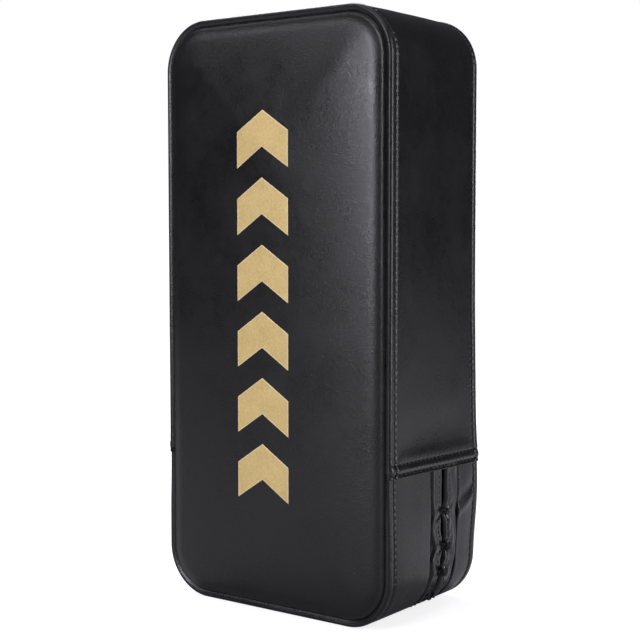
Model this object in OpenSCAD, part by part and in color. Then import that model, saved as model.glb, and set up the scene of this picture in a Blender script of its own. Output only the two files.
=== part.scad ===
// Kick shield: a stuffed rectangular strike pad in a sewn synthetic-leather cover.
// The back carries a padded grip and two forearm straps with rings and hook-and-loop flaps.
// X runs across the pad, Y from the strike face to the back, and Z up the pad.
// It stands on its laced end at Z = 0, with the origin under the middle of its bounding box.

/* [Pad] */
// Width of the pad across its strike face
pad_w = 188; // [180:1:210]
// Height of the pad
pad_h = 400; // [390:1:440]
// Depth of the pad from the strike face to the back panel
pad_d = 106; // [106:1:116]
// Radius of the pad's four corners, seen from the front
corner_r = 34; // [30:1:38]
// Thickness of the synthetic leather
skin = 1.2; // [1:0.1:1.4]

/* [Filling] */
// Thickness of the dense foam slab behind the strike face
strike_foam_t = 28.8; // [20:0.2:30]
// Thickness of the foam slab against the back panel
back_foam_t = 14.8; // [8:0.2:14.8]

/* [Laced closure] */
// Height of the hem that ends the upper gusset
hem_z = 106; // [96:1:116]
// Distance from the strike face to the front edge of the laced slot
slot_front = 48; // [44:1:50]
// Distance from the strike face to the rear edge of the laced slot
slot_rear = 80; // [78:1:80]
// Width of the open gap between the two lips
lip_gap = 4.4; // [4.2:0.1:5]
// Radius of the tie cord
cord_r = 1; // [0.8:0.1:1]

/* [Grip] */
// Height of the grip above the base
grip_z = 328; // [310:1:340]
// Distance from the back panel to the axis of the grip
grip_reach = 49; // [46:1:52]
// Radius of the padded grip sleeve
grip_r = 15; // [14.5:0.5:16]
// Length of the padded grip sleeve
grip_l = 90; // [80:1:92]
// Width of the grip webbing
grip_web_w = 25; // [20:1:25]

/* [Forearm straps] */
// Height of the upper forearm strap above the base
upper_strap_z = 212; // [200:1:225]
// Height of the lower forearm strap above the base
lower_strap_z = 92; // [80:1:110]
// Width of the strap webbing
strap_w = 50; // [40:1:50]
// Radius of the arch between the strap and its return flap
arch_r = 58; // [54:1:60]
// Radius of the ring wire
wire_r = 1.6; // [1.4:0.1:1.6]

/* [Print] */
// Number of chevrons printed on the strike face
chevrons = 6; // [4:1:7]
// Width of the printed column
print_w = 43; // [30:1:60]
// Height of the printed column
print_h = 259; // [220:1:280]

/* [Hidden] */
$fn = 96;

// Cover: double-folded hems lift the lips below the surface of the gusset.
hem_l = 8;
fold_t = 1.4;
fold_w = 7;
lip_inset = skin + fold_t;
lip_t = 1.2;
lip_tuck = 6;
slot_mid = (slot_front + slot_rear) / 2 - 2.4;
tie_bar_inset = lip_inset + 2 * lip_t + cord_r;
tie_span = 9.6;
knot_r = 2;
tie_stations = [36, 60, 77, 98, 123, 148, 173];
flap_inset = tie_bar_inset + cord_r + 0.4;
core_inset = flap_inset + skin;
straight_l = hem_z - corner_r;
bend_l = corner_r * PI / 2;
half_u = straight_l + bend_l + pad_w / 2 - corner_r;

// Grip.
grip_web_t = 2.5;
grip_foot_x = 66;
grip_foot_end = 89;
grip_low_r = 5;
grip_high_r = 12;
rivet_r = 1.5;
rivet_head_r = 4.2;
rivet_head_t = 1;
burr_r = 3.5;
burr_t = 0.8;
rivet_x = 81;
rivet_spacing = 14;

// Forearm straps. The arch's centre lies just above the back panel, and the flap's a little off it.
web_t = 2;
arch_h = 4;
bight_r = 2.8;
flap_shift = 1.7;
ring_angle = 152;
tab_angle = 169;
tab_t = 1.6;
tab_bore_r = wire_r + 0.4;
ring_w = strap_w + 2 * wire_r + 2;
strap_foot_end = 87;
patch_margin = 3;
flap_in = arch_r + bight_r - flap_shift;

// Print.
chevron_rise = 14;
chevron_t = 24;
print_t = 0.3;
print_x = -2.5;
print_z = 77;

// Planes of the strike face and the back panel, with the whole object centred on Y = 0.
reach = max(grip_reach + grip_r, arch_h + flap_shift * sin(ring_angle) + flap_in + web_t);
front_y = (print_t - pad_d - reach) / 2;
back_y = front_y + pad_d;

// ---------- Shared shapes ----------

// The pad's outline in the XZ plane, drawn inside the cover's outer surface by inset.
module outline(inset) {
    w = pad_w - 2 * inset;
    h = pad_h - 2 * inset;
    r = corner_r - inset;
    square([w - 2 * r, h], center = true);
    square([w, h - 2 * r], center = true);
    for (x = [-1, 1], z = [-1, 1])
        translate([x * (w / 2 - r), z * (h / 2 - r)]) circle(r);
}

// A slab of the pad between two depths from the strike face.
module slab(d0, d1, inset) {
    translate([0, front_y + d1, pad_h / 2])
        rotate([90, 0, 0]) linear_extrude(d1 - d0) outline(inset);
}

// A band of the gusset wall between two depths, two insets and two heights.
module band(d0, d1, in0, in1, z0, z1) {
    intersection() {
        difference() {
            slab(d0, d1, in0);
            slab(d0 - 1, d1 + 1, in1);
        }
        translate([-pad_w, front_y + d0 - 1, z0]) cube([2 * pad_w, d1 - d0 + 2, z1 - z0]);
    }
}

// A sector of a ring, between two radii and two angles from the +X axis.
module ring_sector(r0, r1, a0, a1) {
    steps = ceil((a1 - a0) / 30);
    fan = [for (i = [0 : steps]) let (a = a0 + (a1 - a0) * i / steps) 2 * r1 * [cos(a), sin(a)]];
    intersection() {
        difference() {
            circle(r1);
            circle(r0);
        }
        polygon(concat([[0, 0]], fan));
    }
}

// A webbing piece drawn as a section in the XY plane, with its width centred on a height.
module webbing(z, w) {
    translate([0, back_y, z - w / 2]) linear_extrude(w) children();
}

// A leather patch sewn over a webbing foot on the right of the back panel, open towards the middle.
module foot_patch(x0, x1, z, w, foot_t) {
    difference() {
        translate([x0, back_y, z - w / 2 - patch_margin])
            cube([x1 + patch_margin - x0, foot_t + skin, w + 2 * patch_margin]);
        translate([x0 - 1, back_y - 1, z - w / 2])
            cube([x1 + 1 - x0, foot_t + 1, w]);
    }
}

// ---------- Cover ----------

module front_panel() {
    color("#26262a") slab(0, skin, 0);
}

module back_panel() {
    color("#222226") difference() {
        slab(pad_d - skin, pad_d, 0);
        rivet_holes();
    }
}

module upper_gusset() {
    color("#232327") union() {
        band(skin, pad_d - skin, 0, skin, hem_z, pad_h);
        band(skin, pad_d - skin, -skin, 0, hem_z - hem_l, hem_z + 2);
    }
}

module lower_gusset_front() {
    color("#29292d") union() {
        band(skin, slot_front, 0, skin, 0, hem_z);
        band(slot_front - fold_w, slot_front, skin, lip_inset, 0, hem_z);
    }
}

module lower_gusset_rear() {
    color("#29292d") union() {
        band(slot_rear, pad_d - skin, 0, skin, 0, hem_z);
        band(slot_rear, slot_rear + fold_w, skin, lip_inset, 0, hem_z);
    }
}

// The lips are folded double and tucked under the two lower gusset strips.
module closure_lip_front() {
    color("#303034") difference() {
        union() {
            band(slot_front - fold_w, slot_mid - lip_gap / 2, lip_inset, lip_inset + lip_t, 0, hem_z);
            band(slot_front - lip_tuck / 2, slot_mid - lip_gap / 2,
                 lip_inset + lip_t, lip_inset + 2 * lip_t, 0, hem_z);
        }
        tie_holes();
    }
}

module closure_lip_rear() {
    color("#303034") difference() {
        union() {
            band(slot_mid + lip_gap / 2, slot_rear + fold_w, lip_inset, lip_inset + lip_t, 0, hem_z);
            band(slot_mid + lip_gap / 2, slot_rear + lip_tuck / 2,
                 lip_inset + lip_t, lip_inset + 2 * lip_t, 0, hem_z);
        }
        tie_holes();
    }
}

module closure_underflap() {
    color("#151517") band(slot_front - fold_w, slot_rear + fold_w, flap_inset, flap_inset + skin, 0, hem_z);
}

// ---------- Cord ties ----------

// Place and turn of a station on the U of the closure, s along it from the hem on one side.
function u_x(s) = s < straight_l ? pad_w / 2
    : s < straight_l + bend_l ? pad_w / 2 - corner_r + corner_r * cos((s - straight_l) / corner_r * 180 / PI)
    : half_u - s;
function u_z(s) = s < straight_l ? hem_z - s
    : s < straight_l + bend_l ? corner_r - corner_r * sin((s - straight_l) / corner_r * 180 / PI)
    : 0;
function u_turn(s) = 90 + min(90, max(0, (s - straight_l) / corner_r * 180 / PI));

// Puts its children at every tie on both sides, with their +Z pointing out of the gusset.
module at_ties() {
    for (s = tie_stations, side = [1, -1])
        translate([side * u_x(s), front_y + slot_mid, u_z(s)])
            rotate([0, side * u_turn(s), 0]) children();
}

module tie_legs(r, deep) {
    for (y = [-1, 1])
        translate([0, y * tie_span / 2, -deep]) cylinder(h = deep - lip_inset + cord_r, r = r);
}

module tie_holes() {
    at_ties() tie_legs(cord_r + 0.2, lip_inset + 3 * lip_t);
}

module closure_ties() {
    color("#0c0c0d") at_ties() union() {
        tie_legs(cord_r, tie_bar_inset);
        for (inset = [lip_inset - cord_r, tie_bar_inset])
            translate([0, 0, -inset]) rotate([90, 0, 0])
                cylinder(h = tie_span + 2 * cord_r, r = cord_r, center = true);
        translate([0, 0, 0.2 - lip_inset]) sphere(knot_r);
    }
}

// ---------- Filling ----------

module strike_foam() {
    color("#3d3f44") slab(skin, skin + strike_foam_t, skin);
}

// The core fills the cover, with a rebate round its laced end that makes room for the cords.
module core_foam() {
    d0 = skin + strike_foam_t;
    d1 = pad_d - skin - back_foam_t;
    color("#e9e4d6") union() {
        slab(d0, d1, core_inset);
        intersection() {
            slab(d0, d1, skin);
            translate([-pad_w / 2, front_y, hem_z]) cube([pad_w, pad_d, pad_h]);
        }
    }
}

module back_foam() {
    color("#4a4c50") difference() {
        slab(pad_d - skin - back_foam_t, pad_d - skin, skin);
        at_rivets(-skin - burr_t - 0.2) cylinder(h = burr_t + 1, r = burr_r + 0.3);
    }
}

// ---------- Grip ----------

// The webbing rises from its feet in tight bends and turns over at the top in wide ones.
module grip_half() {
    t = grip_web_t / 2;
    leg_x = grip_foot_x - grip_low_r;
    low_y = t + grip_low_r;
    high_y = grip_reach - grip_high_r;
    translate([grip_foot_x, 0]) square([grip_foot_end - grip_foot_x, grip_web_t]);
    translate([grip_foot_x, low_y]) ring_sector(grip_low_r - t, grip_low_r + t, 180, 270);
    translate([leg_x - t, low_y]) square([grip_web_t, high_y - low_y]);
    translate([leg_x - grip_high_r, high_y]) ring_sector(grip_high_r - t, grip_high_r + t, 0, 90);
}

module grip_webbing() {
    top_x = grip_foot_x - grip_low_r - grip_high_r;
    color("#1b1b1d") difference() {
        webbing(grip_z, grip_web_w) {
            grip_half();
            mirror([1, 0]) grip_half();
            translate([-top_x, grip_reach - grip_web_t / 2]) square([2 * top_x, grip_web_t]);
        }
        rivet_holes();
    }
}

// A round roll on the grip's axis, with a slot along it for the webbing.
module grip_roll(l, r) {
    translate([0, back_y + grip_reach, grip_z]) difference() {
        rotate([0, 90, 0]) cylinder(h = l, r = r, center = true);
        cube([l + 2, grip_web_t + 0.4, grip_web_w + 0.4], center = true);
    }
}

module grip_foam() {
    color("#3d3f44") grip_roll(grip_l - 2 * skin, grip_r - skin);
}

// The sleeve is a leather tube with closed ends, sewn round the foam.
module grip_sleeve() {
    color("#202024") difference() {
        grip_roll(grip_l, grip_r);
        translate([0, back_y + grip_reach, grip_z]) rotate([0, 90, 0])
            cylinder(h = grip_l - 2 * skin, r = grip_r - skin, center = true);
    }
}

module grip_patch_right() {
    color("#2a2a2e") difference() {
        foot_patch(grip_foot_x + 2, grip_foot_end, grip_z, grip_web_w, grip_web_t);
        rivet_holes();
    }
}

module grip_patch_left() {
    mirror([1, 0, 0]) grip_patch_right();
}

// Puts its children at the four rivets, a height above the back panel, with +Z pointing outwards.
module at_rivets(h) {
    for (x = [-1, 1], z = [-1, 1])
        translate([x * rivet_x, back_y + h, grip_z + z * rivet_spacing / 2]) rotate([-90, 0, 0]) children();
}

module rivet_holes() {
    at_rivets(-skin - 1) cylinder(h = grip_web_t + 2 * skin + 2, r = rivet_r + 0.1);
}

// Each rivet has a domed head on its patch, and a burr inside the back panel.
module grip_rivets() {
    color("#b9bcc2") union() {
        at_rivets(-skin - burr_t) cylinder(h = burr_t, r = burr_r);
        at_rivets(-skin) cylinder(h = grip_web_t + 2 * skin, r = rivet_r);
        at_rivets(grip_web_t + skin) cylinder(h = rivet_head_t, r1 = rivet_head_r, r2 = rivet_head_r - 0.8);
    }
}

// ---------- Forearm straps ----------

// Points on the arch.
arch_c = [0, arch_h];
function on_arch(a, r) = arch_c + r * [cos(a), sin(a)];
ring_at = on_arch(ring_angle, arch_r);
tab_at = on_arch(tab_angle, arch_r);
strap_out = arch_r - bight_r;
strap_in = strap_out - web_t;

// The strap: a flat foot on the right, the arch over the forearm, and the bight round the ring.
module strap(z) {
    bend_r = arch_h - web_t;
    color("#1d1d1f") webbing(z, strap_w) {
        translate([strap_out + bend_r, 0]) square([strap_foot_end - strap_out - bend_r, web_t]);
        translate([strap_out + bend_r, arch_h]) ring_sector(bend_r, bend_r + web_t, 180, 270);
        translate(arch_c) ring_sector(strap_in, strap_out, 0, ring_angle);
        translate(ring_at) ring_sector(bight_r, bight_r + web_t, ring_angle, ring_angle + 180);
    }
}

module loop_tape(z) {
    color("#17171a") webbing(z, strap_w - 2)
        translate(arch_c) ring_sector(strap_out, strap_out + 1.7, 40, 135);
}

// The return flap lies over the strap, a little off its centre so that it clears the ring.
module flap_sector(r0, r1, a0, a1) {
    translate(on_arch(ring_angle, flap_shift)) ring_sector(r0, r1, a0, a1);
}

module strap_flap(z) {
    color("#1d1d1f") webbing(z, strap_w) flap_sector(flap_in, flap_in + web_t, 38, ring_angle - 0.3);
}

module hook_tape(z) {
    color("#101012") webbing(z, strap_w - 4) flap_sector(flap_in - 1.5, flap_in, 50, 95);
}

// A rectangular wire ring from the tab's bore to the strap's bight.
module ring(z) {
    run = ring_at - tab_at;
    color("#c3c6cc") translate([tab_at[0], back_y + tab_at[1], z]) rotate([0, 0, atan2(run[1], run[0])])
        union() {
            for (x = [0, norm(run)]) translate([x, 0, 0]) cylinder(h = ring_w, r = wire_r, center = true);
            for (side = [-1, 1]) translate([0, 0, side * ring_w / 2]) {
                rotate([0, 90, 0]) cylinder(h = norm(run), r = wire_r);
                sphere(wire_r);
                translate([norm(run), 0, 0]) sphere(wire_r);
            }
        }
}

// Doubled webbing round the ring's near bar, turned flat onto the back panel on the left.
module ring_tab(z) {
    bend_r = 3;
    bend = [tab_at[0] - tab_t - bend_r, 2 * tab_t + bend_r];
    color("#1d1d1f") webbing(z, strap_w) {
        difference() {
            union() {
                translate(tab_at) circle(tab_bore_r + tab_t);
                translate([tab_at[0] - tab_t, bend[1]]) square([2 * tab_t, tab_at[1] - bend[1]]);
            }
            translate(tab_at) circle(tab_bore_r);
        }
        translate(bend) ring_sector(bend_r, bend_r + 2 * tab_t, 270, 360);
        translate([-strap_foot_end, 0]) square([strap_foot_end + bend[0], 2 * tab_t]);
    }
}

module strap_patch(z) {
    color("#2a2a2e") foot_patch(63, strap_foot_end, z, strap_w, web_t);
}

module tab_patch(z) {
    color("#2a2a2e") mirror([1, 0, 0]) foot_patch(65, strap_foot_end, z, strap_w, 2 * tab_t);
}

// ---------- Print ----------

module chevron() {
    w = print_w / 2;
    polygon([
        [-w, 0], [0, chevron_rise], [w, 0],
        [w, chevron_t], [0, chevron_rise + chevron_t], [-w, chevron_t]
    ]);
}

module front_print() {
    pitch = (print_h - chevron_t - chevron_rise) / (chevrons - 1);
    color("#b49a66") for (i = [0 : chevrons - 1])
        translate([print_x, front_y, print_z + i * pitch]) rotate([90, 0, 0])
            linear_extrude(print_t) chevron();
}

// ---------- Nodes ----------

front_panel();
front_print();
back_panel();
upper_gusset();
lower_gusset_front();
lower_gusset_rear();
closure_lip_front();
closure_lip_rear();
closure_underflap();
closure_ties();
strike_foam();
core_foam();
back_foam();
grip_webbing();
grip_foam();
grip_sleeve();
grip_patch_left();
grip_patch_right();
grip_rivets();
strap(upper_strap_z);  // upper_strap
loop_tape(upper_strap_z);  // upper_strap_loop_tape
strap_flap(upper_strap_z);  // upper_strap_flap
hook_tape(upper_strap_z);  // upper_strap_hook_tape
ring(upper_strap_z);  // upper_ring
ring_tab(upper_strap_z);  // upper_ring_tab
strap_patch(upper_strap_z);  // upper_strap_patch
tab_patch(upper_strap_z);  // upper_tab_patch
strap(lower_strap_z);  // lower_strap
loop_tape(lower_strap_z);  // lower_strap_loop_tape
strap_flap(lower_strap_z);  // lower_strap_flap
hook_tape(lower_strap_z);  // lower_strap_hook_tape
ring(lower_strap_z);  // lower_ring
ring_tab(lower_strap_z);  // lower_ring_tab
strap_patch(lower_strap_z);  // lower_strap_patch
tab_patch(lower_strap_z);  // lower_tab_patch
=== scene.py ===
import math

import bpy
import numpy as np
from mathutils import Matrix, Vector


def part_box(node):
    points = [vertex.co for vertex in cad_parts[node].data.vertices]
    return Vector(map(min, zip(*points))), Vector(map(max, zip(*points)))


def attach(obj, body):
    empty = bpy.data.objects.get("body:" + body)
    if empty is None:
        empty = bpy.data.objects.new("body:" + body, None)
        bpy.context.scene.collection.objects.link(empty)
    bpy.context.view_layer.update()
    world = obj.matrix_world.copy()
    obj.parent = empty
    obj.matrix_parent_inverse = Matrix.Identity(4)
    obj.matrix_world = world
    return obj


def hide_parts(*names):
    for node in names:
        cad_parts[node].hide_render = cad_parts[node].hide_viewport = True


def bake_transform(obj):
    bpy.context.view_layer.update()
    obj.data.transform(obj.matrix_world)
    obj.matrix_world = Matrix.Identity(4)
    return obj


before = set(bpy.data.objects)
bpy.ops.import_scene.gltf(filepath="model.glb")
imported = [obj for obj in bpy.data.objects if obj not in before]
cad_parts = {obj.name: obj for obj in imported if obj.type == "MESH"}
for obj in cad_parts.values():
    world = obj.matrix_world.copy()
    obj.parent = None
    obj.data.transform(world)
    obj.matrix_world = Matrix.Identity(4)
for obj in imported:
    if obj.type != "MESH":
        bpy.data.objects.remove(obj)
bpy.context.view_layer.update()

# Lengths are millimetres in the CAD frame until make_mesh() writes them out in metres.
MM = 0.001


def node_box(name):
    """Lowest and highest corner of a CAD node, in millimetres."""
    return [np.array(corner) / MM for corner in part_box(name)]


# ---------- Sizes, from the frame where it has them ----------

PANEL_BOX = node_box("front_panel")
WIDTH = PANEL_BOX[1][0] - PANEL_BOX[0][0]
HEIGHT = PANEL_BOX[1][2]
FRONT = PANEL_BOX[0][1]
BACK = node_box("back_panel")[1][1]
DEPTH = BACK - FRONT
HEM_TOP = node_box("lower_gusset_front")[1][2]
SLOT_FRONT = node_box("lower_gusset_front")[1][1] - FRONT
SLOT_REAR = node_box("lower_gusset_rear")[0][1] - FRONT
SLOT_MID = (node_box("closure_lip_front")[1][1] + node_box("closure_lip_rear")[0][1]) / 2 - FRONT

CORNER = 34.0           # radius of the pad's corners, seen from the front
SEAM_IN = 3.8           # how far the panels' edges lie inside the gusset
BEAD = 6.0              # width of the rolled edge between a panel's seam and its topstitching
SHOULDER = 3.4          # width of the rise from the topstitched groove to the side
HEM_EDGE = 99.6         # height of the hem's lower edge at the strike face
HEM_DROP = 1.6          # how much lower the hem's edge is at the back
HEM_ROWS = (2.3, 8.7)   # the two stitched rows, above the hem's edge
HEM_START = 0.6         # how far from the seam the rows' first stitch starts
STITCH = 4.5            # pitch of the topstitching
FINE_STITCH = 3.4       # pitch of the thinner seams, on the lips and the back
TIES = (36, 60, 77, 98, 123, 148, 173)  # ties along the closure, from the height HEM_TOP

HALF_BASE = WIDTH / 2 - CORNER
QUARTER = CORNER * math.pi / 2
SIDE = HEIGHT - 2 * CORNER
HALF_LOOP = 2 * HALF_BASE + 2 * QUARTER + SIDE
S_TOP = HALF_BASE + QUARTER + HEM_TOP - CORNER  # how far along the outline the closure ends
S_HEM = S_TOP - HEM_TOP + HEM_EDGE              # how far along it the hem's edge meets the strike face


# ---------- Shape functions ----------

def rise(x, width):
    """Climbs from 0 to 1 over width, upright at the start like the side of a roll."""
    return np.sqrt(1 - (1 - np.clip(x / width, 0, 1)) ** 2)


def hill(x, centre, width):
    return np.exp(-((x - centre) / width) ** 2)


def smooth(x, lo, hi):
    t = np.clip((x - lo) / (hi - lo), 0, 1)
    return t * t * (3 - 2 * t)


def waves(a, b, length, seed):
    """Gentle seeded undulation between -1 and 1, of about that wavelength."""
    rng = np.random.default_rng(seed)
    total, count = 0, 8
    for _ in range(count):
        turn, phase = rng.uniform(0, math.tau, 2)
        k = math.tau / (length * rng.uniform(0.7, 1.7))
        total = total + np.sin(k * (a * math.cos(turn) + b * math.sin(turn)) + phase)
    return total / count * 1.6


def outline(s):
    """Points (x, z) and outward normals on the pad's outline, s along it from the middle of the base."""
    s = np.asarray(s, float)
    s = (s + HALF_LOOP) % (2 * HALF_LOOP) - HALF_LOOP
    side, t = np.where(s < 0, -1.0, 1.0), np.abs(s)
    low = np.clip((t - HALF_BASE) / CORNER, 0, math.pi / 2)
    high = np.clip((t - HALF_BASE - QUARTER - SIDE) / CORNER, 0, math.pi / 2)
    turn = low + high
    along_side = np.clip(t - HALF_BASE - QUARTER, 0, SIDE)
    along_top = np.clip(t - HALF_BASE - 2 * QUARTER - SIDE, 0, HALF_BASE)
    nx, nz = np.sin(turn), -np.cos(turn)
    x = np.minimum(t, HALF_BASE) - along_top + CORNER * nx
    z = CORNER + along_side + CORNER * nz
    return side * x, z, side * nx, nz


def fullness(z, depth):
    """How far the soft laced end swells sideways, more towards the back."""
    return smooth(depth, 12, 98) * (3.1 * hill(z, 84, 33) + 1.3 * hill(z, 135, 58))


def wall(s, depth, height):
    """Points of the gusset: depth behind the strike face's plane, height proud of the outline."""
    x, z, nx, nz = outline(s)
    out = height + fullness(z, depth)
    return np.stack(np.broadcast_arrays(x + nx * out, FRONT + depth, z + nz * height), -1)


def resting(s, height):
    """Keeps the underside from standing proud of the plane that the pad rests on."""
    nz = outline(s)[3]
    return height - np.maximum(height, 0) * smooth(-nz, 0.4, 0.95)


def quarter_steps(radius, count):
    """Distances from 0 to radius, spaced as even steps round a quarter circle are."""
    return radius * (1 - np.cos(np.linspace(0, math.pi / 2, count)))


def both_ends(half, near, count):
    """Stations from -half to half: near holds their distances from each end, and even steps lie between."""
    middle = np.linspace(near[-1] - half, half - near[-1], count)[1:-1]
    return np.concatenate([near - half, middle, (half - near)[::-1]])


def rounded_grid(x, z, radius):
    """A grid of (x, z) over a rounded rectangle round the origin, from stations that end at its sides."""
    half_w, half_h = x[-1], z[-1]
    over = np.maximum(np.abs(z) - half_h + radius, 0)
    row_half = half_w - radius + np.sqrt(np.maximum(radius ** 2 - over ** 2, 0))
    return x[None, :] / half_w * row_half[:, None], np.broadcast_to(z[:, None], (len(z), len(x)))


def stitch_stations(lo, hi, pitch=FINE_STITCH):
    count = int((hi - lo) // pitch)
    return lo + (hi - lo - count * pitch) / 2 + pitch * (np.arange(count) + 0.5)


def needle_pulls(s, pitch, start):
    """1 at each needle hole, which lies half a pitch from each stitch's middle, and 0 between holes."""
    return np.cos(math.pi * (s - start) / pitch) ** 8


# ---------- Mesh builders ----------

BLOCK = 4               # points along each side of a thinned grid's blocks


def quads(n, m, wrap=False):
    """Faces of an n by m grid of points, wrap joining its last row to its first."""
    i, j = np.arange(n if wrap else n - 1)[:, None], np.arange(m - 1)
    a, b = i * m + j, (i + 1) % n * m + j
    return np.stack([a, b, b + 1, a + 1], -1).reshape(-1, 4)


def ring_faces(n, m, closed=False):
    """Faces of n rings of m points, closed joining the last ring to the first in place of caps."""
    i, j = np.arange(n if closed else n - 1)[:, None] * m, np.arange(m)
    after, k = (i + m) % (n * m), (j + 1) % m
    faces = [tuple(face) for face in np.stack([i + j, after + j, after + k, i + k], -1).reshape(-1, 4)]
    if not closed:
        faces += [tuple(range(m)), tuple(range(n * m - 1, (n - 1) * m - 1, -1))]
    return faces


def patchwork(n, m, fine):
    """Faces of an n by m grid that keep every point in the fine blocks and only the corners of the others.

    fine holds one flag per block. A coarse block's face takes in the points on a fine neighbour's edge.
    """
    faces = []
    rows, columns = fine.shape
    for p in range(rows):
        for q in range(columns):
            i0, j0 = p * BLOCK, q * BLOCK
            i1, j1 = min(i0 + BLOCK, n - 1), min(j0 + BLOCK, m - 1)
            if fine[p, q]:
                faces += [(i * m + j, (i + 1) * m + j, (i + 1) * m + j + 1, i * m + j + 1)
                          for i in range(i0, i1) for j in range(j0, j1)]
                continue
            dense = [q > 0 and fine[p, q - 1], p + 1 < rows and fine[p + 1, q],
                     q + 1 < columns and fine[p, q + 1], p > 0 and fine[p - 1, q]]
            sides = [[(i, j0) for i in range(i0, i1)], [(i1, j) for j in range(j0, j1)],
                     [(i, j1) for i in range(i1, i0, -1)], [(i0, j) for j in range(j1, j0, -1)]]
            ring = [spot for side, whole in zip(sides, dense) for spot in (side if whole else side[:1])]
            faces.append(tuple(i * m + j for i, j in ring))
    return faces


def used_only(points, faces, values):
    """Drops the points that no face uses, and their entries in values."""
    used = np.unique(np.concatenate([np.asarray(face) for face in faces]))
    place_of = np.full(len(points), -1)
    place_of[used] = np.arange(len(used))
    return points[used], [tuple(int(place_of[i]) for i in face) for face in faces], values[used]


def joined(parts):
    """One (points, faces) from several."""
    points, faces, start = [], [], 0
    for p, f in parts:
        points.append(p)
        faces += [tuple(int(i) + start for i in face) for face in f]
        start += len(p)
    return np.concatenate(points), faces


def make_mesh(name, points, faces, material, uv=None, wear=None):
    """A smooth mesh object. wear holds one value per point, or per point of one of a sheet's two faces."""
    mesh = bpy.data.meshes.new(name)
    places = (np.asarray(points).reshape(-1, 3) * MM).tolist()
    mesh.from_pydata(places, [], [list(map(int, face)) for face in faces])
    if uv is not None:
        layer = mesh.uv_layers.new(name="Cloth")
        loops = np.zeros(len(mesh.loops), int)
        mesh.loops.foreach_get("vertex_index", loops)
        layer.data.foreach_set("uv", (np.asarray(uv).reshape(-1, 2)[loops] * MM).ravel())
    if wear is not None:
        layer = mesh.attributes.new("wear", "FLOAT", "POINT")
        layer.data.foreach_set("value", np.resize(wear, len(mesh.vertices)))
    mesh.materials.append(material)
    mesh.validate()
    mesh.polygons.foreach_set("use_smooth", [True] * len(mesh.polygons))
    mesh.update()
    piece = bpy.data.objects.new(name, mesh)
    bpy.context.scene.collection.objects.link(piece)
    return piece


def outward(points, faces):
    """The same closed mesh with its faces turned to look outwards."""
    points = np.asarray(points, float).reshape(-1, 3)
    triangles = np.array([(face[0], face[i], face[i + 1]) for face in faces for i in range(1, len(face) - 1)])
    a, b, c = points[triangles[:, 0]], points[triangles[:, 1]], points[triangles[:, 2]]
    if np.sum(a * np.cross(b, c)) < 0:
        faces = [tuple(face[::-1]) for face in faces]
    return points, faces


def thick_sheet(outer, inner, wrap=False, fine=None):
    """(points, faces) of a closed sheet between two grids of points, with walls round its open edges.

    fine marks the blocks of the outer grid that keep all their points. Its edge blocks always do.
    """
    n, m = outer.shape[:2]
    points = np.concatenate([outer.reshape(-1, 3), inner.reshape(-1, 3)])
    if fine is None:
        faces = list(quads(n, m, wrap))
        faces += [face[::-1] + n * m for face in faces]
    else:
        rim = np.ones(fine.shape, bool)
        rim[1:-1, 1:-1] = False
        faces = patchwork(n, m, fine | rim)
        faces += [tuple(i + n * m for i in face[::-1]) for face in patchwork(n, m, rim)]
    index = np.arange(n * m).reshape(n, m)
    edges = [index[:, 0][::-1], index[:, -1]]
    if not wrap:
        edges += [index[0], index[-1][::-1]]
    for edge in edges:
        run = list(edge) + ([edge[0]] if wrap else [])
        faces += [(a, b, b + n * m, a + n * m) for a, b in zip(run[:-1], run[1:])]
    return outward(points, [tuple(map(int, face)) for face in faces])


def normals_along(path, closed):
    """Two normals at each point of a path, turned as little as possible."""
    if closed:
        tangent = np.roll(path, -1, 0) - np.roll(path, 1, 0)
    else:
        tangent = np.gradient(path, axis=0)
    tangent /= np.linalg.norm(tangent, axis=1)[:, None]
    side = np.cross(tangent[0], (0.0, 0.0, 1.0))
    if np.linalg.norm(side) < 1e-3:
        side = np.cross(tangent[0], (1.0, 0.0, 0.0))
    sides = []
    for ahead in tangent:
        side = side - ahead * (side @ ahead)
        side = side / np.linalg.norm(side)
        sides.append(side)
    sides = np.array(sides)
    return sides, np.cross(sides, tangent)


def tube(path, radius, sides=10, closed=False):
    """(points, faces) of a round tube along a path, with rounded ends where it is open."""
    path = np.asarray(path, float)
    radius = np.broadcast_to(np.asarray(radius, float), len(path)).copy()
    if not closed:
        first, last = path[0] - path[1], path[-1] - path[-2]
        first, last = first / np.linalg.norm(first), last / np.linalg.norm(last)
        caps = [(0.98, 0.15), (0.75, 0.65), (0.45, 0.9)]
        head = [path[0] + first * radius[0] * out for out, _ in caps]
        tail = [path[-1] + last * radius[-1] * out for out, _ in caps[::-1]]
        radius = np.concatenate([[radius[0] * r for _, r in caps], radius,
                                 [radius[-1] * r for _, r in caps[::-1]]])
        path = np.concatenate([head, path, tail])
    a, b = normals_along(path, closed)
    turn = np.arange(sides) * math.tau / sides
    ring = np.cos(turn)[None, :, None] * a[:, None] + np.sin(turn)[None, :, None] * b[:, None]
    points = path[:, None] + ring * radius[:, None, None]
    return points.reshape(-1, 3), ring_faces(len(path), sides, closed)


# Thread stitches, as length, radius and how far their middle stands off the cloth.
TOP_STITCH = (3.3, 0.42, 0.35)
HEM_STITCH = (3.4, 0.42, 0.25)
LIP_STITCH = (2.5, 0.3, 0.15)
WEB_STITCH = (2.9, 0.36, 0.12)
PATCH_STITCH = (2.5, 0.36, 0.1)
LAP_STITCH = (2.7, 0.36, 0.1)
ROUND_STITCH = (2.6, 0.36, 0.1)
TAB_STITCH = (2.0, 0.36, 0.1)


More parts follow.
